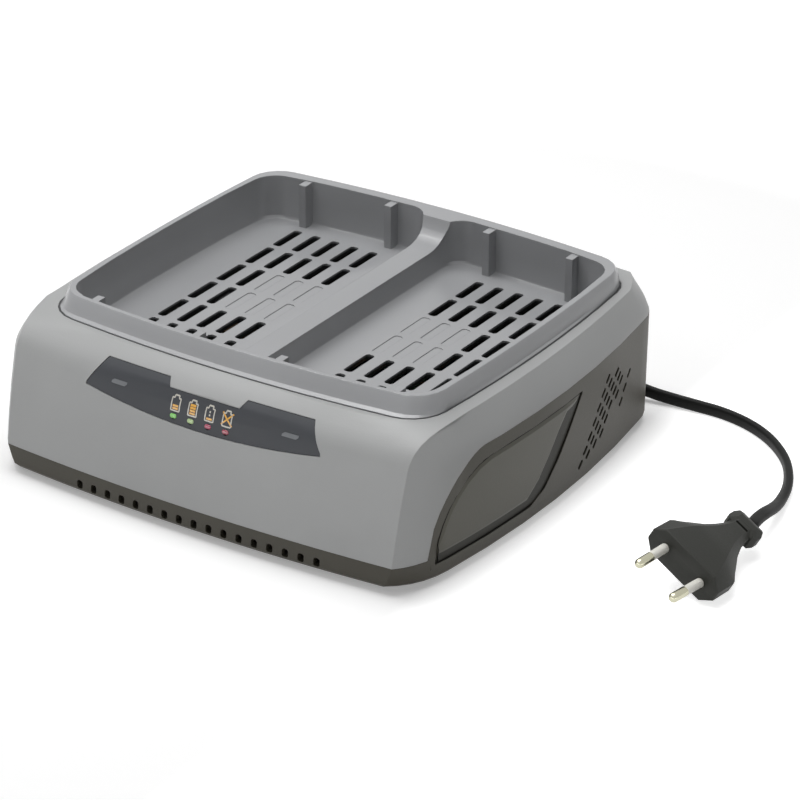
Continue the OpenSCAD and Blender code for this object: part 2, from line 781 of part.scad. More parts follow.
module contact_blades() {
    color("#C8B27A")
    for (s = [-1, 1])
        for (x = blade_x)
            translate([s * bay_mid_x + x - blade_t / 2, block_y0 + 2.5, floor_z - 7])
                cube([blade_t, blade_l, 12.6]);
}

// ---------- side panels ----------

// Raised pad: a narrow flank at the front and top, a wide one at the bottom and rear
pad_proud = 0.3;
pad_low_w = 5.2;
pad_low_d = 1.9;
pad_top_w = 1.7;
pad_top_d = 0.5;
panel_n = 18;
module side_panel(m) {
    y0 = leaf_y0 + 1;
    y1 = leaf_y1 - 1.6;
    function py(i) = y0 + (y1 - y0) * (1 - cos(180 * i / panel_n)) / 2;
    function zl(y) = leaf_low(y) + 0.2;
    function zt(y) = max(leaf_top(y) - 0.2, zl(y) + 0.3);
    function slope(f0, f1) = sqrt(1 + pow((f1 - f0) / 0.4, 2));
    function low_w(y) = pad_low_w * slope(leaf_low(y - 0.2), leaf_low(y + 0.2));
    function top_w(y) = pad_top_w * slope(leaf_top(max(y0, y) - 0.2), leaf_top(max(y0, y) + 0.2));
    function at(y, z, t) = [side_at(y, z) - t, y, z];
    function back(y, z) = [side_at(y, side_mid_z) - recess_depth + 0.1, y, z];
    // Round the section at y: back, top edge, face, low edge, back
    rings = [for (i = [0:panel_n])
        let (y = py(i), h = zt(y) - zl(y), bl = min(low_w(y), h * 0.62), bt = min(top_w(y), h * 0.25),
             f = min(1, h / 14), face = -pad_proud * f + (pad_top_d + 0.1) * (1 - f))
        [back(y, zt(y)), at(y, zt(y), pad_top_d), at(y, zt(y) - bt, face), at(y, zl(y) + bl, face),
         at(y, zl(y) + bl * 0.8, face + 0.25), at(y, zl(y), pad_low_d), back(y, zl(y))]];
    color("#57554B")
        mirror([m, 0, 0])
            loft(rings);
}
module side_panel_left() { side_panel(1); }
module side_panel_right() { side_panel(0); }

// ---------- electronics ----------

board_z = standoff_z;
board_top_z = board_z + board_t;
module main_board() {
    color("#2E6B45")
    difference() {
        translate([board_x0, board_y0, board_z])
            cube([board_x1 - board_x0, board_y1 - board_y0, board_t]);
        for (p = board_spots)
            translate([p[0], p[1], board_z - 1])
                cylinder(d = screw_d + 0.3, h = board_t + 2, $fn = 18);
    }
}

module board_screws() {
    color("#B8B8B4")
    for (p = board_spots)
        translate([p[0], p[1], 0]) {
            translate([0, 0, base_top_z + 0.6])
                cylinder(d = screw_d, h = board_top_z - base_top_z - 0.6, $fn = 18);
            translate([0, 0, board_top_z])
                cylinder(d = 5.6, h = 2, $fn = 18);
        }
}

core_x = board_x0 + 36;
core_y = board_y1 - 48;
core_w = 38;
core_t = 16;
core_top_gap = 5.9;
core_h = tray_under_z - core_top_gap - board_top_z - 2;
winding_w = 20;
winding_d = 34;
leg_t = 7;
module transformer_core() {
    color("#3A3A3C")
    translate([core_x - core_w / 2, core_y - core_t / 2, board_top_z + 2])
        difference() {
            cube([core_w, core_t, core_h]);
            for (x = [leg_t, core_w / 2 + leg_t / 2])
                translate([x, -1, leg_t])
                    cube([core_w / 2 - leg_t * 1.5, core_t + 2, core_h - 2 * leg_t]);
        }
}

module transformer_winding() {
    color("#B8862E")
    translate([core_x, core_y, board_top_z + 2 + leg_t])
        difference() {
            translate([-winding_w / 2, -winding_d / 2, 0])
                cube([winding_w, winding_d, core_h - 2 * leg_t]);
            translate([-leg_t / 2, -core_t / 2, -1])
                cube([leg_t, core_t, core_h]);
        }
    // Feet of the bobbin in front of and behind the core
    color("#B8862E")
    for (y = [core_y - winding_d / 2, core_y + core_t / 2 + 0.2])
        translate([core_x - winding_w / 2, y, board_top_z])
            cube([winding_w, (winding_d - core_t) / 2 - 0.2, 2 + leg_t]);
}

cap_d = 16;
cap_h = 27;
cap_y = board_y1 - 32;
cap_spots = [[board_x1 - 80, cap_y], [board_x1 - 60, cap_y], [board_x1 - 40, cap_y]];
module bulk_capacitors() {
    color("#2B3A5A")
    for (p = cap_spots)
        translate([p[0], p[1], board_top_z])
            rotate_extrude($fn = 20)
                polygon([[0, 0], [cap_d / 2, 0], [cap_d / 2, 2], [cap_d / 2 - 0.7, 2.8],
                         [cap_d / 2, 3.6], [cap_d / 2, cap_h - 1], [cap_d / 2 - 1, cap_h], [0, cap_h]]);
}

sink_edge = 22;
sink_gap = 17;
relay_dx = [22, 48];
relay_w = 19;
relay_h = 15.5;
sink_x0 = board_x0 + relay_dx[1] + relay_w + sink_gap;
sink_w = board_x1 - sink_edge - sink_x0;
sink_h = 26;
fin_count = 7;
fin_t = 1.8;
module heat_sinks() {
    color("#A8AAAC")
    for (y = [board_y0 + 16, board_y0 + 54])
        translate([sink_x0, y, board_top_z]) {
            cube([sink_w, 3, sink_h]);
            for (i = [0:fin_count - 1])
                translate([i * (sink_w - fin_t) / (fin_count - 1), 2.9, 0])
                    cube([fin_t, 9.1, sink_h]);
        }
}

module output_relays() {
    color("#22324E")
    for (dx = relay_dx)
        translate([board_x0 + dx, board_y0 + 18, board_top_z])
            cube([relay_w, relay_h, relay_h]);
}

choke_r = 9;
choke_t = 8.4;
module filter_choke() {
    color("#9A5B2A")
    translate([board_x1 - 18, board_y1 - 20, board_top_z + choke_t / 2])
        rotate_extrude($fn = 20)
            translate([choke_r, 0])
                circle(d = choke_t, $fn = 14);
}

fuse_d = 6;
fuse_l = 20;
module mains_fuse() {
    color("#CFCBB8")
    translate([board_x0 + 56, board_y1 - 14, board_top_z + fuse_d / 2]) {
        rotate([0, 90, 0])
            cylinder(d = fuse_d, h = fuse_l, $fn = 18);
        for (x = [1, fuse_l - 3])
            translate([x, -1.5, -fuse_d / 2])
                cube([2, 3, fuse_d / 2]);
    }
}

// ---------- fan ----------

hub_d = 16;
shaft_d = 3;
bearing_fit = 0.1;
rotor_r = fan_size / 2 - 2.4;
module fan_frame() {
    color("#1F2022")
    difference() {
        union() {
            difference() {
                translate([fan_x0, fan_y - fan_size / 2, fan_z - fan_size / 2])
                    cube([fan_t, fan_size, fan_size]);
                translate([fan_x0 - 1, fan_y, fan_z])
                    rotate([0, 90, 0])
                        cylinder(r = rotor_r + 0.7, h = fan_t + 2, $fn = 20);
            }
            // Motor seat on four spokes, on the inner side, and the bearing tube
            translate([fan_x0, fan_y, fan_z])
                rotate([0, 90, 0])
                    cylinder(d = hub_d, h = 2, $fn = 14);
            for (a = [45:90:315])
                translate([fan_x0, fan_y, fan_z])
                    rotate([a, 0, 0])
                        translate([0, -1, 0])
                            cube([2, 2, rotor_r + 1.5]);
            translate([fan_x0, fan_y, fan_z])
                rotate([0, 90, 0])
                    cylinder(d = 7, h = 5, $fn = 18);
        }
        translate([fan_x0 - 1, fan_y, fan_z])
            rotate([0, 90, 0])
                cylinder(d = shaft_d + bearing_fit, h = 8, $fn = 18);
        for (a = [0:90:270])
            translate([fan_x0 - 1, fan_y, fan_z])
                rotate([a, 0, 0])
                    translate([0, fan_size / 2 - 3.6, fan_size / 2 - 3.6])
                        rotate([0, 90, 0])
                            cylinder(d = 3.4, h = fan_t + 2, $fn = 18);
    }
}

module fan_rotor() {
    color("#2A2B2E")
    translate([fan_x0, fan_y, fan_z])
        rotate([0, 90, 0])
            union() {
                // Cup-shaped hub that turns over the bearing tube
                difference() {
                    translate([0, 0, 2.4])
                        cylinder(d = hub_d, h = fan_t - 2.8, $fn = 14);
                    translate([0, 0, 1])
                        cylinder(d = 8.4, h = 5.2, $fn = 18);
                }
                translate([0, 0, 0.6])
                    cylinder(d = shaft_d, h = 6.4, $fn = 18);
                for (i = [0:fan_blades - 1])
                    rotate([0, 0, i * 360 / fan_blades])
                        translate([hub_d / 2 - 0.6, 0, 2.6 + (fan_t - 3.2) / 2])
                            rotate([38, 0, 0])
                                translate([0, -4, -0.5])
                                    cube([rotor_r - hub_d / 2 + 0.3, 8, 1]);
            }
}

// ---------- mains lead ----------

plug_face = [183.2, -31.6, 13.2];
plug_roll = 28.6;
plug_pitch = -3.5;
plug_yaw = -4.4;
plug_w = 35.3;
plug_t = 13.7;
plug_cut = 4.6;
plug_l = 48;
plug_neck_y = 37;
grip_w = 15.2;
grip_t = 8.4;

// Route of the lead: behind the housing to the right, then round to the front and into the plug
cord_route = [
    relief_end,
    relief_end + 7 * relief_dir - [0, 0, 1],
    [92, 103.4, 4.2],
    [101, 104.9, 3.1],
    [112, 105.6, 2.8],
    [124, 105.7, 2.8],
    [136, 103.4, 2.8],
    [147, 98.8, 2.8],
    [157, 92, 2.8],
    [166.5, 82.6, 2.8],
    [173.5, 72, 2.8],
    [178.2, 61.5, 2.7],
    [181.4, 50, 3.4],
    [183.7, 40.5, 5.6],
    [185.2, 31, 8.2],
    [186, 24, 9.4],
    plug_at(0, plug_l + 1.6),
    plug_at(0, plug_l - 0.3)];

// Smooth curve through the route: a Catmull-Rom span between points b and c
function spline(a, b, c, d, t) = 0.5 * (2 * b + (c - a) * t
    + (2 * a - 5 * b + 4 * c - d) * t * t + (3 * b - a - 3 * c + d) * t * t * t);
route_n = len(cord_route);
function route_at(i) = cord_route[max(0, min(route_n - 1, i))];
cord_steps = 2;
cord_line = concat(
    [for (i = [0:route_n - 2]) for (k = [0:cord_steps - 1])
        spline(route_at(i - 1), route_at(i), route_at(i + 1), route_at(i + 2), k / cord_steps)],
    [cord_route[route_n - 1]]);
function unit(v) = v / norm(v);
function heading(i) = unit(cord_line[min(len(cord_line) - 1, i + 1)] - cord_line[max(0, i - 1)]);
cord_sides = 8;
// The lead stands on edge behind the housing and lies over towards the plug
twist_from = 17;
twist_to = 29;
twist_turn = 112;
function ease(u) = u * u * (3 - 2 * u);
function cord_twist(i) = twist_turn * ease(max(0, min(1, (i - twist_from) / (twist_to - twist_from))));
function cord_ring(i) =
    let (h = heading(i), side = unit(cross(h, [0, 0, 1])), up = cross(side, h), w = cord_twist(i),
         u = up * cos(w) - side * sin(w), v = side * cos(w) + up * sin(w))
    [for (k = [0:cord_sides - 1])
        let (a = -22.5 - k * 360 / cord_sides)
        cord_line[i] + v * cord_t / 2 * cos(a) * 1.05 + u * cord_h / 2 * sin(a) * 1.04];

module mains_cord() {
    color("#1B1B1C")
    loft([for (i = [0:len(cord_line) - 1]) cord_ring(i)]);
}

module cord_strain_relief() {
    color("#1B1B1C")
    translate(relief_start)
        rotate([0, 90, relief_turn])
            rotate_extrude($fn = 14)
                polygon([[0, 0.2], [relief_d / 2 + 0.9, 0.2], [relief_d / 2 + 0.9, 2], [relief_d / 2, 2],
                         [relief_d / 2, relief_root + 4], [3, relief_root + relief_l],
                         [0, relief_root + relief_l]]);
}

clamp_w = 24;
clamp_d = 12;
module cord_clamp() {
    color("#2A2B2E")
    translate([outlet_x1 - 20, half_d - 32, base_top_z])
        difference() {
            cube([clamp_w, clamp_d, 8]);
            translate([clamp_w / 2, -1, 4])
                rotate([-90, 0, 0])
                    cylinder(d = cord_h, h = clamp_d + 2, $fn = 18);
        }
}

// ---------- plug ----------

// Local frame of the plug: +Y runs back along the lead, X across the two pins
module plug_place() {
    translate(plug_face)
        rotate([plug_pitch, 0, plug_yaw])
            rotate([0, plug_roll, 0])
                children();
}
function plug_at(x, y) =
    let (cy = cos(plug_yaw), sy = sin(plug_yaw), cp = cos(plug_pitch), sp = sin(plug_pitch),
         cr = cos(plug_roll), sr = sin(plug_roll),
         px = x * cr, pz = -x * sr, qy = y * cp - pz * sp, qz = y * sp + pz * cp)
    plug_face + [px * cy - qy * sy, px * sy + qy * cy, qz];

// Sections along the plug: distance behind the face, half width, half thickness,
// half width of the flat top, half height of the flat end
plug_sections = [
    [0, plug_w / 2 - 0.5, plug_t / 2 - 0.4, plug_w / 2 - plug_cut, plug_t / 2 - plug_cut],
    [0.8, plug_w / 2, plug_t / 2, plug_w / 2 - plug_cut, plug_t / 2 - plug_cut],
    [11.6, plug_w / 2 - 0.1, plug_t / 2, 9.6, 2.1],
    [13.4, 16.8, plug_t / 2, 8.9, 2],
    [16.4, 14.6, plug_t / 2 - 0.1, 7.8, 2],
    [20.6, 12, 6.1, 6.4, 2],
    [25, 9.2, 5.5, 5, 2],
    [30, 7, 4.9, 3.9, 2],
    [plug_neck_y - 2, 5.4, 4.3, 3, 2],
    [plug_neck_y + 4, 5, 4.1, 2.8, 2]];
function plug_ring(s) =
    let (y = s[0], w = s[1], t = s[2], a = s[3], b = s[4])
    [[w, y, -b], [a, y, -t], [-a, y, -t], [-w, y, -b], [-w, y, b], [-a, y, t], [a, y, t], [w, y, b]];

// Bead-shaped grip behind the neck, with a slot above and below where the lead can flex
module plug_grip() {
    w = grip_w / 2;
    h = grip_t / 2;
    module bead(t) {
        r = t / 2;
        polygon([[r - 1.6, plug_neck_y + 1], [r, plug_neck_y + 3.4], [r, plug_l - 4.4],
                 [r - 2, plug_l - 1], [r - 2.6, plug_l], [2.6 - r, plug_l],
                 [2 - r, plug_l - 1], [-r, plug_l - 4.4],
                 [-r, plug_neck_y + 3.4], [1.6 - r, plug_neck_y + 1]]);
    }
    intersection() {
        linear_extrude(plug_t, center = true)
            bead(grip_w);
        rotate([0, -90, 0])
            linear_extrude(plug_w, center = true)
                bead(grip_t);
        rotate([-90, 0, 0])
            linear_extrude(plug_l + 2)
                polygon([[w, 2.2], [w - 3.4, h], [3.4 - w, h], [-w, 2.2],
                         [-w, -2.2], [3.4 - w, -h], [w - 3.4, -h], [w, -2.2]]);
    }
}

module plug_body() {
    color("#3A3A38")
    plug_place()
        difference() {
            union() {
                loft([for (s = plug_sections) plug_ring(s)]);
                plug_grip();
            }
            for (s = [-1, 1])
                translate([-3, plug_neck_y + 0.2, s * 4.2 - 1.4])
                    cube([6, 1.2, 2.8]);
            for (s = [-1, 1])
                translate([s * pin_pitch / 2, 0, 0])
                    rotate([90, 0, -s * pin_lean]) {
                        translate([0, 0, -sleeve_in])
                            cylinder(d = sleeve_d, h = sleeve_in + 3, $fn = 20);
                        translate([0, 0, -core_in])
                            cylinder(d = core_pin_d, h = core_in + 3, $fn = 20);
                    }
        }
}

// Insulated half of each pin
sleeve_d = 3.8;
sleeve_in = 1.5;
sleeve_l = 10;
core_pin_d = 2.8;
core_in = 9;
pin_lean = 1;
module pin_sleeves() {
    color("#DEDEDC")
    plug_place()
        for (s = [-1, 1])
            translate([s * pin_pitch / 2, 0, 0])
                rotate([90, 0, -s * pin_lean])
                    translate([0, 0, -sleeve_in])
                        difference() {
                            cylinder(d = sleeve_d, h = sleeve_in + sleeve_l, $fn = 20);
                            translate([0, 0, -1])
                                cylinder(d = core_pin_d, h = sleeve_in + sleeve_l + 2, $fn = 20);
                        }
}

module plug_pins() {
    color("#B9B7B0")
    plug_place()
        for (s = [-1, 1])
            translate([s * pin_pitch / 2, 0, 0])
                rotate([90, 0, -s * pin_lean])
                    rotate_extrude($fn = 20)
                        polygon([[0, -core_in], [core_pin_d / 2, -core_in], [core_pin_d / 2, sleeve_l],
                                 [pin_d / 2, sleeve_l], [pin_d / 2, pin_l - 2], [1.85, pin_l - 1.2],
                                 [1.4, pin_l - 0.5], [0.8, pin_l - 0.1], [0, pin_l]]);
}

// ---------- feet and screws ----------

module rubber_feet() {
    color("#222223")
    for (p = foot_spots)
        translate([p[0], p[1], 0]) {
            cylinder(d1 = foot_d - 2.2, d2 = foot_d - 1.2, h = 0.8, $fn = 14);
            translate([0, 0, 0.8])
                cylinder(d = foot_d - 0.6, h = foot_gap + foot_pocket - 0.8, $fn = 14);
        }
}

module housing_screws() {
    color("#8F9092")
    for (p = screw_spots)
        translate([p[0], p[1], screw_head_z - 2.4])
            difference() {
                union() {
                    cylinder(d = 5.6, h = 2.4, $fn = 18);
                    cylinder(d = screw_d, h = boss_split_z + screw_reach - screw_head_z + 2.4, $fn = 18);
                }
                for (a = [0, 90])
                    rotate([0, 0, a])
                        translate([-1.6, -0.35, -1])
                            cube([3.2, 0.7, 2.2]);
            }
}

lower_housing();
upper_housing();
battery_tray();
tray_gasket();
display_panel();
indicator_windows();
light_guides();
status_leds();
led_board();
side_panel_left();
side_panel_right();
terminal_block_left();
terminal_block_right();
contact_blades();
main_board();
transformer_core();
transformer_winding();
bulk_capacitors();
heat_sinks();
output_relays();
filter_choke();
mains_fuse();
fan_frame();
fan_rotor();
cord_clamp();
cord_strain_relief();
mains_cord();
plug_body();
pin_sleeves();
plug_pins();
rubber_feet();
housing_screws();
board_screws();
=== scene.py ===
# %% [markdown]
# # A two-bay battery charger
# The charger is a low moulded box with two slotted bays on top, a dark display on its leaning
# front, and a flat mains lead that curls round to a slim plug. The solids come from the CAD part
# and stay where they are. This lesson gives them their soft edges, their plastics and metals,
# adds the small printed and moulded details, and lights them on a white table. All lengths are
# in metres, as Blender has them.
# %% Load the fixed frame
import json
import math

import bpy
from mathutils import Matrix, Vector
from mathutils.bvhtree import BVHTree
from mathutils.interpolate import poly_3d_calc


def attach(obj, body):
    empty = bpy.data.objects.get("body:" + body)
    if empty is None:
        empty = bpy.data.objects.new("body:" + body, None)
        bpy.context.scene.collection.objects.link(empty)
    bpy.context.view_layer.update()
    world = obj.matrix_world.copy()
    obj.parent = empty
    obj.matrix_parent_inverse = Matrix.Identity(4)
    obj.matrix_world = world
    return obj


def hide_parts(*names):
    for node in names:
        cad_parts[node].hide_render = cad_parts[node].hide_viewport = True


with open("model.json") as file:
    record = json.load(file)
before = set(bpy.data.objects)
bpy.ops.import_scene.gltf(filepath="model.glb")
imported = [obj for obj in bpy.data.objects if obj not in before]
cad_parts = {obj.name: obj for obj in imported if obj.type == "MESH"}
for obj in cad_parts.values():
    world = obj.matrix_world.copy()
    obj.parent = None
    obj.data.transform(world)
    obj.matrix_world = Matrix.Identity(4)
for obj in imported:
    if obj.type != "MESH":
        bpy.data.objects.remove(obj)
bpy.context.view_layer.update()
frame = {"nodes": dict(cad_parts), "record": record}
nodes = frame["nodes"]

# %% [markdown]
# ## The camera
# A product picture like this one is taken from a good distance with a long lens, so that the box
# hardly tapers. The camera is described by where it stands and by its heading, height angle and
# a slight roll, which is easier to adjust than a matrix typed by hand.
# %% Place the camera
camera_at = Vector((0.8046, -1.1723, 0.7418))
focal_pixels, picture_pixels = 3910.7, 800
heading, height_angle, roll = (math.radians(a) for a in (33.32, 26.97, 0.26))
back = Vector((math.sin(heading) * math.cos(height_angle),
               -math.cos(heading) * math.cos(height_angle),
               math.sin(height_angle)))
level_right = Vector((math.cos(heading), math.sin(heading), 0))
level_up = back.cross(level_right)
right = level_right * math.cos(roll) + level_up * math.sin(roll)
up = level_up * math.cos(roll) - level_right * math.sin(roll)
camera_data = bpy.data.cameras.new("camera")
camera_data.sensor_width = 36
camera_data.lens = focal_pixels * camera_data.sensor_width / picture_pixels
camera = bpy.data.objects.new("camera", camera_data)
bpy.context.scene.collection.objects.link(camera)
camera.matrix_world = Matrix((
    (right.x, up.x, back.x, camera_at.x),
    (right.y, up.y, back.y, camera_at.y),
    (right.z, up.z, back.z, camera_at.z),
    (0, 0, 0, 1)))
bpy.context.scene.camera = camera
bpy.context.scene.view_settings.view_transform = "Standard"
print("lens", round(camera_data.lens, 1), "mm")

# %% [markdown]
# ## Small helpers
# An operator works on everything that is selected, so each step first clears the selection and
# picks its own piece. A finished piece keeps its place in its mesh and its object at the origin.
# %% Selection and place
same_point = 1e-6


def pick(*objects):
    if bpy.context.object and bpy.context.object.mode != "OBJECT":
        bpy.ops.object.mode_set(mode="OBJECT")
    bpy.ops.object.select_all(action="DESELECT")
    for o in objects:
        o.select_set(True)
    bpy.context.view_layer.objects.active = objects[-1]


def settle(piece):
    pick(piece)
    bpy.ops.object.transform_apply(location=True, rotation=True, scale=True)


def finish_modifiers(piece):
    pick(piece)
    for m in list(piece.modifiers):
        bpy.ops.object.modifier_apply(modifier=m.name)


def outward(piece):
    pick(piece)
    bpy.ops.object.mode_set(mode="EDIT")
    bpy.ops.mesh.select_all(action="SELECT")
    bpy.ops.mesh.remove_doubles(threshold=same_point)
    bpy.ops.mesh.normals_make_consistent(inside=False)
    bpy.ops.object.mode_set(mode="OBJECT")
    return piece


def join(name, *pieces):
    pick(*pieces)
    bpy.ops.object.join()
    piece = bpy.context.object
    piece.name = name
    return piece


print("the CAD part has", len(nodes), "nodes to dress")

# %% [markdown]
# ## Moulded pieces with soft edges
# The CAD nodes come as loose triangles with hard edges. A moulded housing has no truly sharp
# edge, and its long curves are smooth. A copy of each visible node is merged and shaded smooth
# up to an angle, so that curves read as curves and true corners stay. The copy stands for the
# node, and the node itself is left alone. The CAD file brings fixed normals, which no smoothing
# would change, so the copy drops them first.
# %% Copy, merge and smooth a CAD node
record = frame["record"]
body_of_node = {n: body for body, held in record["behaviour"]["bodies"].items() for n in held}
same_corner = 2e-6
same_plane = math.radians(0.2)


def soft_copy(node, angle=28, edge=0.0, steps=2, limit=40):
    source = nodes[node]
    piece = source.copy()
    piece.data = source.data.copy()
    piece.name = node + "_skin"
    bpy.context.scene.collection.objects.link(piece)
    pick(piece)
    bpy.ops.mesh.customdata_custom_splitnormals_clear()
    bpy.ops.object.mode_set(mode="EDIT")
    bpy.ops.mesh.select_all(action="SELECT")
    bpy.ops.mesh.remove_doubles(threshold=same_corner)
    bpy.ops.mesh.dissolve_limited(angle_limit=same_plane)
    bpy.ops.object.mode_set(mode="OBJECT")
    if edge:
        rounding = piece.modifiers.new("edges", "BEVEL")
        rounding.width = edge
        rounding.segments = steps
        rounding.limit_method = "ANGLE"
        rounding.angle_limit = math.radians(limit)
        rounding.use_clamp_overlap = True
    finish_modifiers(piece)
    bpy.ops.object.shade_smooth_by_angle(angle=math.radians(angle))
    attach(piece, body_of_node[node])
    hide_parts(node)
    return piece


# %% [markdown]
# ## The mains lead
# A slim plug has a flat two-core lead: 5.4 mm wide and 3.3 mm thick, with round edges. It leaves
# the housing standing on its narrow edge and lies over towards the plug. A curve with a flat
# profile and a tilt at every point could make it. Rings laid along listed route points are
# chosen here, because the route and the turn then follow the CAD solid, with more rings and a
# rounder section than the solid has.
# %% Route of the lead
route = [Vector(p) / 1000 for p in (
    (75.54, 100.95, 7), (82.45, 102.1, 6), (92, 103.4, 4.2), (101, 104.9, 3.1),
    (112, 105.6, 2.8), (124, 105.7, 2.8), (136, 103.4, 2.8), (147, 98.8, 2.8),
    (157, 92, 2.8), (166.5, 82.6, 2.8), (173.5, 72, 2.8), (178.2, 61.5, 2.7),
    (181.4, 50, 3.4), (183.7, 40.5, 5.6), (185.2, 31, 8.2), (186, 24, 9.4),
    (187.0, 17.76, 10.17), (186.85, 15.87, 10.29))]
per_span = 4


def on_route(i):
    return route[max(0, min(len(route) - 1, i))]


def through(a, b, c, d, t):
    return 0.5 * (2 * b + (c - a) * t + (2 * a - 5 * b + 4 * c - d) * t * t
                  + (3 * b - a - 3 * c + d) * t ** 3)


lead_line = [through(on_route(i - 1), on_route(i), on_route(i + 1), on_route(i + 2), k / per_span)
             for i in range(len(route) - 1) for k in range(per_span)] + [route[-1]]

# %% Section of the lead, and how it lies over
lead_wide, lead_thick = 0.0054, 0.0033
turn_starts, turn_spans, full_turn = 8.5, 6, math.radians(112)
round_steps = 8


def lead_turn(i):
    u = max(0.0, min(1.0, (i / per_span - turn_starts) / turn_spans))
    return full_turn * u * u * (3 - 2 * u)


def lead_ring(i):
    ahead = (lead_line[min(len(lead_line) - 1, i + 1)] - lead_line[max(0, i - 1)]).normalized()
    side = ahead.cross(Vector((0, 0, 1))).normalized()
    over = side.cross(ahead)
    turn = lead_turn(i)
    wide = over * math.cos(turn) - side * math.sin(turn)
    thin = side * math.cos(turn) + over * math.sin(turn)
    ring = []
    for half in (1, -1):
        for k in range(round_steps + 1):
            a = math.pi * (k / round_steps)
            x = half * ((lead_wide - lead_thick) / 2 + lead_thick / 2 * math.sin(a))
            y = half * lead_thick / 2 * math.cos(a)
            ring.append(lead_line[i] + wide * x + thin * y)
    return ring


rings = [lead_ring(i) for i in range(len(lead_line))]
print(len(rings), "rings of", len(rings[0]), "points")

# %% Skin the rings and lay a map along them
per_ring = len(rings[0])
points = [point for ring in rings for point in ring]
faces = []
for i in range(len(rings) - 1):
    this_ring, next_ring = i * per_ring, (i + 1) * per_ring
    for k in range(per_ring):
        after = (k + 1) % per_ring
        faces.append((this_ring + k, this_ring + after, next_ring + after, next_ring + k))
first_cap = tuple(range(per_ring))[::-1]
last_cap = tuple(range(len(points) - per_ring, len(points)))
faces += [first_cap, last_cap]
lead_mesh = bpy.data.meshes.new("mains_lead")
lead_mesh.from_pydata(points, [], faces)
along = lead_mesh.uv_layers.new(name="along")
reach = [0.0]
for a, b in zip(lead_line, lead_line[1:]):
    reach.append(reach[-1] + (b - a).length)
for polygon in lead_mesh.polygons:
    for corner in polygon.loop_indices:
        point = lead_mesh.loops[corner].vertex_index
        along.data[corner].uv = (point % per_ring / per_ring, reach[point // per_ring])
lead = bpy.data.objects.new("mains_lead", lead_mesh)
bpy.context.scene.collection.objects.link(lead)
outward(lead)
bpy.ops.object.shade_smooth_by_angle(angle=math.radians(50))
print(lead.name, len(lead_mesh.polygons), "faces")

# %% [markdown]
# ## The plug
# The plug body is one piece of soft vinyl moulded round the pins. Its corners are cut at 45
# degrees and its edges are a little rounded, which a small bevel on the merged copy gives. The
# two pins and their white sleeves are round, so their copies only need smooth shading.
# %% Round the plug body and smooth its pins
plug = soft_copy("plug_body", angle=32, edge=0.0006, steps=3, limit=24)
sleeves = soft_copy("pin_sleeves")
pins = soft_copy("plug_pins")
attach(lead, "housing")
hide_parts("mains_cord")
print("plug", [round(d * 1000, 1) for d in plug.dimensions], "mm")

# %% [markdown]
# ## The housing and the tray
# The two shells, the tray and the display are injection moulded. Their copies are smoothed up to
# 28 degrees, which is more than any step along their curves and less than any real corner. The
# terminal blocks get a real 0.3 mm round. The side panels have a shallow crease between face and
# flank, so theirs are smoothed up to 7 degrees only.
# %% Smooth the moulded pieces
side_panels = ("side_panel_left", "side_panel_right")
terminal_blocks = ("terminal_block_left", "terminal_block_right")
skins = {node: soft_copy(node) for node in (
    "lower_housing", "upper_housing", "battery_tray", "display_panel", "indicator_windows",
    "cord_strain_relief", "rubber_feet")}
skins.update({"plug_body": plug, "pin_sleeves": sleeves, "plug_pins": pins})
for node in terminal_blocks:
    skins[node] = soft_copy(node, edge=0.0003)
for node in side_panels:
    skins[node] = soft_copy(node, angle=7)
for node, piece in skins.items():
    print(node, len(piece.data.polygons), "faces")

# %% [markdown]
# ## Side panels and their seams
# Each side panel is a leaf with a wide matt flank along its low and rear edge, coloured darker as
# painted shade. The CAD leaf is a row of rings along Y, so the low front corner of every ring is
# found and brought nearer to the wall, which leaves only a hairline there. Along the slanting rear
# edge the flank is wider still: the line between flank and face climbs until it runs 12 mm ahead
# of that edge. A thin dark line of painted shadow follows the whole outline, where a real seam
# would cast one: the outline's edges are copied out and thickened into a fine bead.
# %% Find the panel's rings and lines
def rings_of(piece):
    rings = {}
    for v in piece.data.vertices:
        rings.setdefault(round(v.co.y, 5), []).append(v)
    return [rings[y] for y in sorted(rings)]


def outermost(verts):
    return max(verts, key=lambda v: abs(v.co.x))


def height_on(line, y):
    for (y0, z0), (y1, z1) in zip(line, line[1:]):
        if y0 <= y <= y1:
            return z0 + (z1 - z0) * (y - y0) / (y1 - y0)
    return math.inf


print(len(rings_of(skins["side_panel_right"])), "rings in a side panel")

# %% Lift and widen the flank, and mark its faces
flank_lift, flank_reach, face_left = 0.0011, 0.012, 0.0001
same_height, wall_side = 1e-5, 0.0002
flank_faces = {}
outline_of = {}


def widen_flank(outer, rise):
    flank_top, face_low, face_top = outer[1:4]
    step = flank_top.co - face_low.co
    face_height = face_top.co.z - face_low.co.z
    up_the_face = (face_top.co - face_low.co) / face_height
    face_low.co += up_the_face * min(rise, face_height - face_left)
    flank_top.co = face_low.co + step


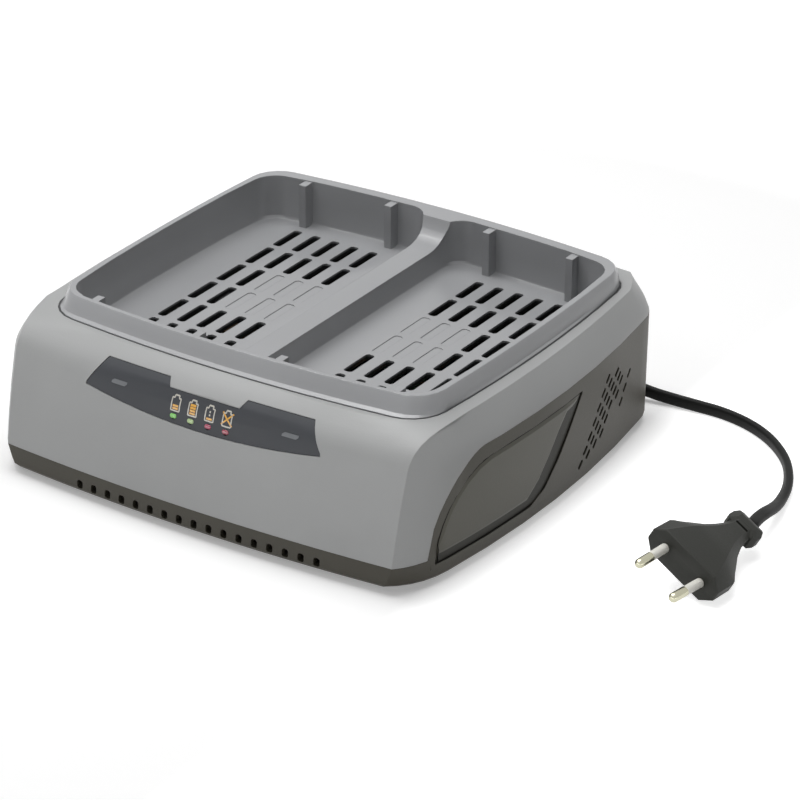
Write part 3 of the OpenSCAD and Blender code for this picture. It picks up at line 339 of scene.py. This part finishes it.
for node in side_panels:
    rings = rings_of(skins[node])
    low = [outermost([v for v in ring if v.co.z < min(w.co.z for w in ring) + same_height])
           for ring in rings]
    high = [outermost([v for v in ring if v.co.z > max(w.co.z for w in ring) - same_height])
            for ring in rings]
    for v in low:
        v.co.x += math.copysign(flank_lift, v.co.x)
    inner = {v.index for ring in rings for v in ring
             if abs(v.co.x) < min(abs(w.co.x) for w in ring) + wall_side}
    edge_line = [(v.co.y, v.co.z) for v in low]
    for ring in rings:
        outer = sorted((v for v in ring if v.index not in inner), key=lambda v: v.co.z)
        rise = height_on(edge_line, outer[1].co.y + flank_reach) - outer[1].co.z
        if rise > 0:
            widen_flank(outer, rise)
    low_set = {v.index for v in low}
    flank_faces[node] = [f.index for f in skins[node].data.polygons
                         if low_set & set(f.vertices) and not inner & set(f.vertices)]
    ends = {v.index for ring in (rings[0], rings[-1]) for v in ring} - inner
    outline_of[node] = low_set | {v.index for v in high} | ends
    print(node, len(flank_faces[node]), "flank faces")

# %% Draw the seam beads of painted shadow
seam_radius, seam_proud = 0.00018, 0.00024


def seam_bead(node):
    source = skins[node]
    bead = source.copy()
    bead.data = source.data.copy()
    bead.name = node + "_seam"
    bpy.context.scene.collection.objects.link(bead)
    for e in bead.data.edges:
        e.select = set(e.vertices) <= outline_of[node]
    for v in bead.data.vertices:
        v.select = v.index in outline_of[node]
        v.co.x += math.copysign(seam_proud, v.co.x)
    for f in bead.data.polygons:
        f.select = False
    pick(bead)
    bpy.ops.object.mode_set(mode="EDIT")
    bpy.ops.mesh.select_mode(type="EDGE")
    bpy.ops.mesh.select_all(action="INVERT")
    bpy.ops.mesh.delete(type="EDGE")
    bpy.ops.object.mode_set(mode="OBJECT")
    bpy.ops.object.convert(target="CURVE")
    bead = bpy.context.object
    bead.data.bevel_depth = seam_radius
    bead.data.bevel_resolution = 2
    bead.data.use_fill_caps = True
    bpy.ops.object.convert(target="MESH")
    bead = outward(bpy.context.object)
    bpy.ops.object.shade_smooth()
    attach(bead, body_of_node[node])
    return bead


seams = [seam_bead(node) for node in side_panels]
for bead in seams:
    print(bead.name, len(bead.data.polygons), "faces, spans",
          [round(d * 1000, 1) for d in bead.dimensions], "mm")

# %% [markdown]
# ## Even shading across the cuts
# Where the display, the split line and the vents cut a curved shell, long thin faces meet the
# cut and the shading there shows streaks. A product modeller copies the shading from an uncut
# skin. The housing is bulged all round, so its convex hull is that skin: every corner of the
# shells that lies on the hull takes the hull's smooth direction, and cut walls keep their own.
# A Data Transfer modifier can copy shading too, but doesn't ask which way a face looks, so the
# corners are gone through one by one.
# %% Build the clean skin
skin_flat, skin_crease = math.radians(0.6), math.radians(21)


def clean_skin(*names):
    shells = []
    for name in names:
        shell = skins[name].copy()
        shell.data = skins[name].data.copy()
        bpy.context.scene.collection.objects.link(shell)
        shells.append(shell)
    skin = join("clean_skin", *shells)
    bpy.ops.object.mode_set(mode="EDIT")
    bpy.ops.mesh.select_all(action="SELECT")
    bpy.ops.mesh.convex_hull(join_triangles=False)
    bpy.ops.mesh.select_all(action="SELECT")
    bpy.ops.mesh.dissolve_limited(angle_limit=skin_flat)
    bpy.ops.object.mode_set(mode="OBJECT")
    bpy.ops.object.shade_smooth_by_angle(angle=skin_crease)
    return skin


skin = clean_skin("lower_housing", "upper_housing")
print("clean skin of", len(skin.data.polygons), "faces")

# %% Copy its shading
skin_reach, corner_inset, same_way = 0.0005, 0.02, 0.92


def shade_like(piece, skin):
    mesh = piece.data
    triangles = skin.data.loop_triangles
    tree = BVHTree.FromPolygons([v.co for v in skin.data.vertices],
                                [tuple(t.vertices) for t in triangles])
    directions = [Vector(c.vector) for c in mesh.corner_normals]
    taken = 0
    for face in mesh.polygons:
        for corner in face.loop_indices:
            at = mesh.vertices[mesh.loops[corner].vertex_index].co.lerp(face.center, corner_inset)
            spot, normal, index, away = tree.find_nearest(at)
            if away < skin_reach and normal.dot(face.normal) > same_way:
                triangle = triangles[index]
                shares = poly_3d_calc([skin.data.vertices[v].co for v in triangle.vertices], spot)
                blend = sum((Vector(skin.data.corner_normals[k].vector) * share
                             for k, share in zip(triangle.loops, shares)), Vector())
                directions[corner] = blend.normalized()
                taken += 1
    mesh.normals_split_custom_set(directions)
    return taken


for node in ("lower_housing", "upper_housing", "display_panel"):
    print(node, shade_like(skins[node], skin), "corners follow the clean skin")
bpy.data.objects.remove(skin)

# %% [markdown]
# ## Status lamps and battery signs
# Below four small battery signs the display has four lamps, green on the left and red on the
# right. A lamp is the end of a clear rod that stands a hair proud: a flat-sided cylinder with
# a domed edge, turned square to the leaning front. The signs are printed. An image would blur at
# this size, so each is built from thin plates that stay sharp, placed on the leaning front by
# dropping them along Y onto the display.
# %% Seat four lamps on the display
before_front = -0.2


def front_of(node, x, z):
    found, at, normal, _ = skins[node].ray_cast(Vector((x, before_front, z)), Vector((0, 1, 0)))
    return (at, normal) if found else (None, None)


lamp_xs = (-0.01215, -0.00385, 0.00445, 0.01275)
lamp_z = 0.0461
beside_hole = 0.0018
lamp_wide, lamp_high, lamp_deep, lamp_proud = 0.0031, 0.0018, 0.0016, 0.00035
lamps = []
for i, x in enumerate(lamp_xs):
    spot, lean = front_of("display_panel", x + beside_hole, lamp_z)
    seat = Vector((x, spot.y, lamp_z)) - lean * (lamp_deep / 2 - lamp_proud)
    bpy.ops.mesh.primitive_cylinder_add(vertices=32, radius=lamp_high / 2, depth=lamp_deep,
                                        location=seat,
                                        rotation=lean.to_track_quat("Z", "X").to_euler())
    lamp = bpy.context.object
    settle(lamp)
    for v in lamp.data.vertices:
        side = v.co.x - x
        if abs(side) > same_point:
            v.co.x += math.copysign((lamp_wide - lamp_high) / 2, side)
    dome = lamp.modifiers.new("dome", "BEVEL")
    dome.width, dome.segments, dome.limit_method = lamp_proud, 3, "ANGLE"
    dome.angle_limit = math.radians(60)
    finish_modifiers(lamp)
    bpy.ops.object.shade_smooth_by_angle(angle=math.radians(40))
    lamp.name = "status_lamp_%d" % (i + 1)
    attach(lamp, "housing")
    lamps.append(lamp)
print(len(lamps), "lamps, each", [round(d * 1000, 1) for d in lamps[0].dimensions], "mm")

# %% Print a stroke that lies on the display
ink = 0.00006
sign_z = 0.0511


def stroke(start_at, end_at, thick):
    run = Vector(end_at) - Vector(start_at)
    middle = (Vector(end_at) + Vector(start_at)) / 2
    bpy.ops.mesh.primitive_cube_add(size=1, location=(middle.x, 0, middle.y),
                                    rotation=(0, math.atan2(run.x, run.y), 0))
    piece = bpy.context.object
    piece.scale = (thick, ink * 2, run.length)
    settle(piece)
    bpy.ops.object.mode_set(mode="EDIT")
    bpy.ops.mesh.select_all(action="SELECT")
    bpy.ops.mesh.subdivide(number_cuts=3)
    bpy.ops.object.mode_set(mode="OBJECT")
    for v in piece.data.vertices:
        face, _ = front_of("display_panel", v.co.x, v.co.z)
        if face:
            v.co.y += face.y
    return piece


def print_strokes(name, x, strokes, thick):
    piece = join(name, *[stroke((x + a / 1000, sign_z + b / 1000),
                                (x + c / 1000, sign_z + d / 1000), thick)
                         for a, b, c, d in strokes])
    outward(piece)
    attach(piece, "housing")
    return piece


print("ink stands", round(ink * 1000, 2), "mm proud")

# %% Print four battery signs
outline_thick, fill_thick, cross_thick = 0.00048, 0.00078, 0.0006
sign_xs = (-0.0118, -0.0036, 0.0045, 0.0127)
rim = ((-2, -2.9), (2, -2.9), (2, 1.9), (1, 1.9), (1, 2.8), (-1, 2.8), (-1, 1.9), (-2, 1.9))
outline = [(*a, *b) for a, b in zip(rim, rim[1:] + rim[:1])]
rows = [(-1.3, z, 1.3, z) for z in (-2.0, -0.95, 0.1, 1.1)]
fills = {"charging": rows[:2], "full": rows, "waiting": rows[:1],
         "fault": [(-2.5, -2.4, 2.5, 2.2), (-2.5, 2.2, 2.5, -2.4)]}
sign_outlines = []
sign_fills = []
for x, (state, fill) in zip(sign_xs, fills.items()):
    sign_outlines.append(print_strokes("sign_%s_outline" % state, x, outline, outline_thick))
    sign_fills.append(print_strokes("sign_%s_fill" % state, x, fill,
                                    cross_thick if state == "fault" else fill_thick))
dashes = [(0, -0.9, 0, -0.2), (0, 0.3, 0, 1.0)]
sign_outlines.append(print_strokes("sign_waiting_dashes", sign_xs[2], dashes, cross_thick))
print(len(sign_outlines) + len(sign_fills), "printed pieces")

# %% [markdown]
# ## Colours
# Colours are picked on screen as sRGB hex values. Shaders work in linear light, so one function
# turns them over. Three more small functions add a node, start a material and close it.
# %% Colour and node helpers
def ink_of(code):
    parts = [int(code[i:i + 2], 16) / 255 for i in (1, 3, 5)]
    return tuple(c / 12.92 if c <= 0.04045 else ((c + 0.055) / 1.055) ** 2.4 for c in parts) + (1,)


def add(tree, kind, inputs=(), **settings):
    node = tree.nodes.new(kind)
    for key, value in settings.items():
        setattr(node, key, value)
    for key, value in dict(inputs).items():
        if isinstance(value, bpy.types.NodeSocket):
            tree.links.new(value, node.inputs[key])
        else:
            node.inputs[key].default_value = value
    return node


def start(name):
    material = bpy.data.materials.new(name)
    material.use_nodes = True
    tree = material.node_tree
    tree.nodes.clear()
    return material, tree


def close(tree, shader):
    out = add(tree, "ShaderNodeOutputMaterial")
    tree.links.new(shader.outputs[0], out.inputs["Surface"])


print("a grey of #808080 is", round(ink_of("#808080")[0], 3), "in linear light")

# %% [markdown]
# ## Injection-moulded plastic
# The shells are ABS or polyamide from an eroded mould: a fine, even grain, slight drifts of
# tone where the melt flowed, and a soft sheen. The real grain is about 0.3 mm, too fine to show
# at this size, so it is drawn at about 0.7 mm. A mould leaves small round edges, which the
# bevel normal draws without more faces. Deep in the tray's slots little light comes back, so the
# tray's colour is darkened just below the bay floor: painted shade.
# %% Moulded plastic
drift_size = 0.045
shade_depth, shade_share = 0.0008, 0.12
slot_shade_z = 0.0496


def moulded(name, code, rough, grain=0.0007, depth=0.00004, drift=0.03, edge=0.0004, sheen=0.5,
            painted_shade_below=None):
    material, tree = start(name)
    place = add(tree, "ShaderNodeTexCoord").outputs["Object"]
    fine = add(tree, "ShaderNodeTexNoise", {"Vector": place, "Scale": 1 / grain, "Detail": 2.0})
    broad = add(tree, "ShaderNodeTexNoise",
                {"Vector": place, "Scale": 1 / drift_size, "Detail": 2.0})
    base = Vector(ink_of(code)[:3])
    ramp = add(tree, "ShaderNodeValToRGB", {"Fac": broad.outputs["Fac"]})
    ramp.color_ramp.elements[0].position = 0.3
    ramp.color_ramp.elements[1].position = 0.7
    ramp.color_ramp.elements[0].color = (*(base * (1 - drift)), 1)
    ramp.color_ramp.elements[1].color = (*(base * (1 + drift)), 1)
    colour = ramp.outputs["Color"]
    # Painted shade: below this height the colour falls towards a small share of itself.
    if painted_shade_below is not None:
        height = add(tree, "ShaderNodeSeparateXYZ", {"Vector": place})
        deep = add(tree, "ShaderNodeMapRange", {"Value": height.outputs["Z"],
                                                "From Min": painted_shade_below,
                                                "From Max": painted_shade_below - shade_depth})
        shade = add(tree, "ShaderNodeMix", {"Factor": deep.outputs["Result"], 6: colour,
                                            7: (*(base * shade_share), 1)}, data_type="RGBA")
        colour = shade.outputs[2]
    gloss = add(tree, "ShaderNodeMapRange", {"Value": fine.outputs["Fac"], "To Min": rough - 0.05,
                                             "To Max": rough + 0.05})
    round_edge = add(tree, "ShaderNodeBevel", {"Radius": edge}, samples=4)
    bump = add(tree, "ShaderNodeBump", {"Height": fine.outputs["Fac"], "Distance": depth,
                                        "Strength": 1.0, "Normal": round_edge.outputs[0]})
    shader = add(tree, "ShaderNodeBsdfPrincipled",
                 {"Base Color": colour, "Roughness": gloss.outputs["Result"],
                  "Normal": bump.outputs[0], "IOR": 1.5, "Specular IOR Level": sheen})
    close(tree, shader)
    return material


grey_abs = moulded("grey_abs_eroded", "#9E9F9F", 0.42)
tray_abs = moulded("grey_abs_satin", "#9A9B9D", 0.22, depth=0.00002, sheen=0.6,
                   painted_shade_below=slot_shade_z)
olive_pa = moulded("olive_polyamide_eroded", "#3B382F", 0.48, sheen=0.4)
panel_pa = moulded("olive_polyamide_satin", "#434136", 0.42, sheen=0.4, depth=0.00003)
# The flank's darker colour is painted shade; its roughness is a real matt.
flank_painted_shade = moulded("olive_polyamide_matt_painted_shade", "#24231E", 0.6, sheen=0.25)
# Dark paint for the shadow that a real seam would hold.
seam_shadow_paint = moulded("painted_seam_shadow", "#171613", 0.7, sheen=0.1)
display_pc = moulded("dark_polycarbonate", "#424448", 0.4, depth=0.00001, sheen=0.25)
black_pa = moulded("black_glass_filled_polyamide", "#232426", 0.45)
plug_pvc = moulded("black_vinyl_matt", "#1B1C17", 0.6, sheen=0.35, depth=0.00005)
foot_epdm = moulded("black_foot_rubber", "#222223", 0.7)
white_pbt = moulded("white_pbt", "#F2F0E8", 0.3, depth=0.00001)
print(len(bpy.data.materials), "materials so far")

# %% [markdown]
# ## The lead's vinyl
# An extruded jacket has faint lines along its length and a slight wave of gloss. The lead's own
# UV map runs round and along it, so the lines follow every bend.
# %% Extruded vinyl
lead_pvc, tree = start("black_vinyl_extruded")
uv = add(tree, "ShaderNodeUVMap", uv_map="along")
stretch = add(tree, "ShaderNodeMapping", {"Vector": uv.outputs[0], "Scale": (40, 8, 1)})
lines = add(tree, "ShaderNodeTexNoise",
            {"Vector": stretch.outputs[0], "Scale": 1.0, "Detail": 3.0})
tone = add(tree, "ShaderNodeValToRGB", {"Fac": lines.outputs["Fac"]})
tone.color_ramp.elements[0].color = ink_of("#0E0F0E")
tone.color_ramp.elements[1].color = ink_of("#171716")
lift = add(tree, "ShaderNodeBump", {"Height": lines.outputs["Fac"], "Distance": 0.00003})
close(tree, add(tree, "ShaderNodeBsdfPrincipled",
                {"Base Color": tone.outputs["Color"], "Roughness": 0.5, "Normal": lift.outputs[0],
                 "IOR": 1.53, "Specular IOR Level": 0.12}))
print(lead_pvc.name, "has", len(tree.nodes), "nodes")

# %% [markdown]
# ## Metals
# The pins are nickel-plated brass, drawn and polished, with very fine turning lines round the
# axis. The contacts are rolled brass, the screws zinc-plated steel and the heat sinks extruded
# aluminium. A metal's colour is its reflection, so only roughness and tint change.
# %% Metal
def metal(name, code, rough, grain):
    material, tree = start(name)
    place = add(tree, "ShaderNodeTexCoord").outputs["Object"]
    rubbed = add(tree, "ShaderNodeTexNoise", {"Vector": place, "Scale": 1 / grain, "Detail": 4.0})
    gloss = add(tree, "ShaderNodeMapRange", {"Value": rubbed.outputs["Fac"],
                                             "To Min": rough - 0.06, "To Max": rough + 0.08})
    bump = add(tree, "ShaderNodeBump", {"Height": rubbed.outputs["Fac"], "Distance": 0.00001})
    close(tree, add(tree, "ShaderNodeBsdfPrincipled",
                    {"Base Color": ink_of(code), "Metallic": 1.0,
                     "Roughness": gloss.outputs["Result"], "Normal": bump.outputs[0]}))
    return material


nickel = metal("nickel_plate_polished", "#B6B49F", 0.2, 0.0008)
brass = metal("rolled_brass", "#C8B27A", 0.35, 0.0006)
zinc = metal("zinc_plated_steel", "#9B9D9F", 0.38, 0.0009)
aluminium = metal("extruded_aluminium", "#B6B8BA", 0.4, 0.0012)
iron = metal("core_laminations", "#4A4A4C", 0.5, 0.0005)
print(len(bpy.data.materials), "materials so far")

# %% [markdown]
# ## Lamps, lenses, ink and boards
# The lamps are unlit tinted resin, so they glint but do not glow. The signs are screen-printed
# ink. The circuit boards carry green solder mask over copper tracks: in each squarish patch of
# the board the tracks run one way, as a router lays them. Real tracks of 0.3 mm are drawn 0.8 mm
# wide, so that they show.
# %% Resin, ink and sleeves
haze_size = 0.0006


def resin(name, code, rough=0.15):
    material, tree = start(name)
    place = add(tree, "ShaderNodeTexCoord").outputs["Object"]
    haze = add(tree, "ShaderNodeTexNoise",
               {"Vector": place, "Scale": 1 / haze_size, "Detail": 2.0})
    gloss = add(tree, "ShaderNodeMapRange", {"Value": haze.outputs["Fac"], "To Min": rough,
                                             "To Max": rough + 0.1})
    close(tree, add(tree, "ShaderNodeBsdfPrincipled",
                    {"Base Color": ink_of(code), "Roughness": gloss.outputs["Result"], "IOR": 1.55,
                     "Coat Weight": 0.5}))
    return material


lens_grey = resin("smoked_lens", "#63666A", 0.3)
rod_clear = resin("light_guide_resin", "#D8DAD4", 0.1)
lamp_colours = ("#7CC860", "#A9C388", "#A83A58", "#A03C4E")
lamp_resins = [resin("lamp_resin_%d" % (i + 1), c) for i, c in enumerate(lamp_colours)]
amber_ink = resin("amber_screen_ink", "#E0A53A", 0.45)
white_ink = resin("white_screen_ink", "#C6C2B8", 0.45)
capacitor_sleeve = resin("blue_shrink_sleeve", "#2B3A5A", 0.35)
print(len(lamp_resins), "lamp colours")

# %% Circuit board
patch_size = 0.016
# A wave texture of scale 1 has one band in about 0.31 m, so 110 gives one every 2.9 mm.
wave_scale = 110
track_level = 0.8


def board(name, mask, track):
    material, tree = start(name)
    place = add(tree, "ShaderNodeTexCoord").outputs["Object"]
    patches = add(tree, "ShaderNodeTexVoronoi", {"Vector": place, "Scale": 1 / patch_size,
                                                 "Randomness": 0.8}, distance="CHEBYCHEV")
    chance = add(tree, "ShaderNodeSeparateXYZ", {"Vector": patches.outputs["Color"]})
    turned = add(tree, "ShaderNodeMath", {0: chance.outputs["X"], 1: 0.5},
                 operation="GREATER_THAN")
    runs = [add(tree, "ShaderNodeTexWave", {"Vector": place, "Scale": wave_scale},
                bands_direction=way) for way in ("X", "Y")]
    routed = add(tree, "ShaderNodeMix", {"Factor": turned.outputs[0], 2: runs[0].outputs["Fac"],
                                         3: runs[1].outputs["Fac"]})
    copper_here = add(tree, "ShaderNodeMath", {0: routed.outputs[0], 1: track_level},
                      operation="GREATER_THAN")
    tint = add(tree, "ShaderNodeMix", {"Factor": copper_here.outputs[0], 6: ink_of(mask),
                                       7: ink_of(track)}, data_type="RGBA")
    close(tree, add(tree, "ShaderNodeBsdfPrincipled",
                    {"Base Color": tint.outputs[2], "Roughness": 0.35}))
    return material


solder_mask = board("green_solder_mask", "#2E6B45", "#3F8257")
print(solder_mask.name, "has", len(solder_mask.node_tree.nodes), "nodes")

# %% Finishes of the parts inside
relay_case = moulded("blue_relay_case", "#22324E", 0.4)
winding = moulded("amber_winding_tape", "#4A3A20", 0.5)
copper = moulded("enamelled_copper_winding", "#9A5B2A", 0.35, grain=0.001)
ceramic = moulded("fuse_ceramic", "#CFCBB8", 0.4)
fan_pbt = moulded("black_fan_pbt", "#242528", 0.4)
seal_rubber = moulded("grey_seal_rubber", "#3C3D3E", 0.7)
print(len(bpy.data.materials), "materials in all")

# %% [markdown]
# ## Every piece in its finish
# The CAD nodes keep their meshes and each takes one material. A piece that stands for a node
# takes the same one. A side panel has two: satin on its face, and on its flank a matt one whose
# darker colour is painted shade. One list holds every finish, so that no node is left without.
# %% Give every piece its finish
def wear(piece, material):
    piece.data.materials.clear()
    piece.data.materials.append(material)


finish_of = {
    "lower_housing": olive_pa, "upper_housing": grey_abs, "battery_tray": tray_abs,
    "tray_gasket": seal_rubber, "display_panel": display_pc, "indicator_windows": lens_grey,
    "light_guides": rod_clear, "status_leds": lamp_resins[0], "led_board": solder_mask,
    "side_panel_left": panel_pa, "side_panel_right": panel_pa,
    "terminal_block_left": black_pa, "terminal_block_right": black_pa, "contact_blades": brass,
    "main_board": solder_mask, "transformer_core": iron, "transformer_winding": winding,
    "bulk_capacitors": capacitor_sleeve, "heat_sinks": aluminium, "output_relays": relay_case,
    "filter_choke": copper, "mains_fuse": ceramic, "fan_frame": fan_pbt, "fan_rotor": fan_pbt,
    "cord_clamp": black_pa, "cord_strain_relief": lead_pvc, "mains_cord": lead_pvc,
    "plug_body": plug_pvc, "pin_sleeves": white_pbt, "plug_pins": nickel,
    "rubber_feet": foot_epdm, "housing_screws": zinc, "board_screws": zinc}
for node, material in finish_of.items():
    wear(nodes[node], material)
    if node in skins:
        wear(skins[node], material)
# The flank faces take the matt material, whose darker colour is painted shade.
for node in side_panels:
    mesh = skins[node].data
    mesh.materials.append(flank_painted_shade)
    flank_slot = len(mesh.materials) - 1
    for k in flank_faces[node]:
        mesh.polygons[k].material_index = flank_slot
for bead in seams:
    wear(bead, seam_shadow_paint)
wear(lead, lead_pvc)
for lamp, material in zip(lamps, lamp_resins):
    wear(lamp, material)
for sign in sign_outlines:
    wear(sign, white_ink)
for sign in sign_fills:
    wear(sign, amber_ink)
print(len(finish_of), "finishes given")

# %% [markdown]
# ## Table, light and air
# The charger lies on a white table that fades into a white background. The table shows white to
# the camera and in reflections, and still takes the soft shadows. On the plug side it glows more,
# a painted light that thins the box's shadow there. Past the reach of the lamps it glows fully
# white, so that no grey horizon shows from any side. Two soft lamps hang high, one small one lifts
# the front shoulder, and two long dim ones stand in front and on the right, as in a light tent.
# %% Table
table_size = 30
glow_by_box, painted_light_by_plug, plug_side_from, plug_side_to = 0.3, 0.76, 0.098, 0.118
horizon_from, horizon_to = 0.24, 0.5


def seen_directly(tree):
    sight = add(tree, "ShaderNodeLightPath")
    seen = sight.outputs["Is Camera Ray"]
    for ray in ("Is Glossy Ray", "Is Transmission Ray"):
        seen = add(tree, "ShaderNodeMath", {0: seen, 1: sight.outputs[ray]},
                   operation="MAXIMUM").outputs[0]
    return seen


bpy.ops.mesh.primitive_plane_add(size=table_size, location=(0, 0, 0))
table = bpy.context.object
table.name = "table"
table_white, tree = start("white_table")
paper = add(tree, "ShaderNodeBsdfDiffuse", {"Color": ink_of("#E6E6E6")})
place = add(tree, "ShaderNodeTexCoord").outputs["Object"]
across = add(tree, "ShaderNodeSeparateXYZ", {"Vector": place})
# Painted light: from X 0.098 m to 0.118 m the glow rises, lightening the box's shadow on the plug
# side.
plug_side_painted_light = add(tree, "ShaderNodeMapRange", {
    "Value": across.outputs["X"], "From Min": plug_side_from, "From Max": plug_side_to,
    "To Min": glow_by_box, "To Max": painted_light_by_plug})
reach_out = add(tree, "ShaderNodeVectorMath", {0: place}, operation="LENGTH")
horizon = add(tree, "ShaderNodeMapRange", {
    "Value": reach_out.outputs["Value"], "From Min": horizon_from, "From Max": horizon_to})
whitest = add(tree, "ShaderNodeMath", {0: plug_side_painted_light.outputs["Result"], 1: horizon.outputs["Result"]},
              operation="MAXIMUM")
glow_level = add(tree, "ShaderNodeMath", {0: seen_directly(tree), 1: whitest.outputs[0]},
                 operation="MULTIPLY")
glow = add(tree, "ShaderNodeEmission", {"Color": (1, 1, 1, 1), "Strength": glow_level.outputs[0]})
close(tree, add(tree, "ShaderNodeAddShader", {0: paper.outputs[0], 1: glow.outputs[0]}))
wear(table, table_white)
print("table laid at height", round(table.location.z, 4))

# %% Light
def soft_lamp(name, at, aim, size, power):
    data = bpy.data.lights.new(name, "AREA")
    data.shape = "RECTANGLE"
    data.size, data.size_y = size
    data.energy = power
    lamp = bpy.data.objects.new(name, data)
    bpy.context.scene.collection.objects.link(lamp)
    lamp.location = at
    lamp.rotation_euler = (Vector(aim) - Vector(at)).to_track_quat("-Z", "Y").to_euler()


soft_lamp("overhead", (-0.1, 0.1, 1.2), (0, 0, 0.03), (1.0, 0.9), 11.8)
soft_lamp("left_high", (-0.6, -0.1, 1.0), (0, 0, 0.03), (0.8, 0.8), 3)
soft_lamp("shoulder_light", (0, -0.85, 0.95), (0.05, -0.08, 0.05), (0.3, 0.3), 1.1)
soft_lamp("front_strip", (-0.1, -1.4, 0.05), (0, 0, 0.05), (2.0, 0.22), 6)
soft_lamp("right_strip", (1.4, -0.2, 0.05), (0, 0, 0.05), (1.4, 0.22), 2.2)
whole_power = sum(light.energy for light in bpy.data.lights)
print(len(bpy.data.lights), "lamps with", round(whole_power, 1), "W in all")

# %% Air
air_light, air_seen = 0.04, 1.0
world = bpy.data.worlds.new("tent")
bpy.context.scene.world = world
world.use_nodes = True
tree = world.node_tree
tree.nodes.clear()
level = add(tree, "ShaderNodeMapRange",
            {"Value": seen_directly(tree), "To Min": air_light, "To Max": air_seen})
air = add(tree, "ShaderNodeBackground", {"Color": (1, 1, 1, 1),
                                         "Strength": level.outputs["Result"]})
world_out = add(tree, "ShaderNodeOutputWorld")
tree.links.new(air.outputs[0], world_out.inputs["Surface"])
print("the air lights with", air_light, "and shows", air_seen)
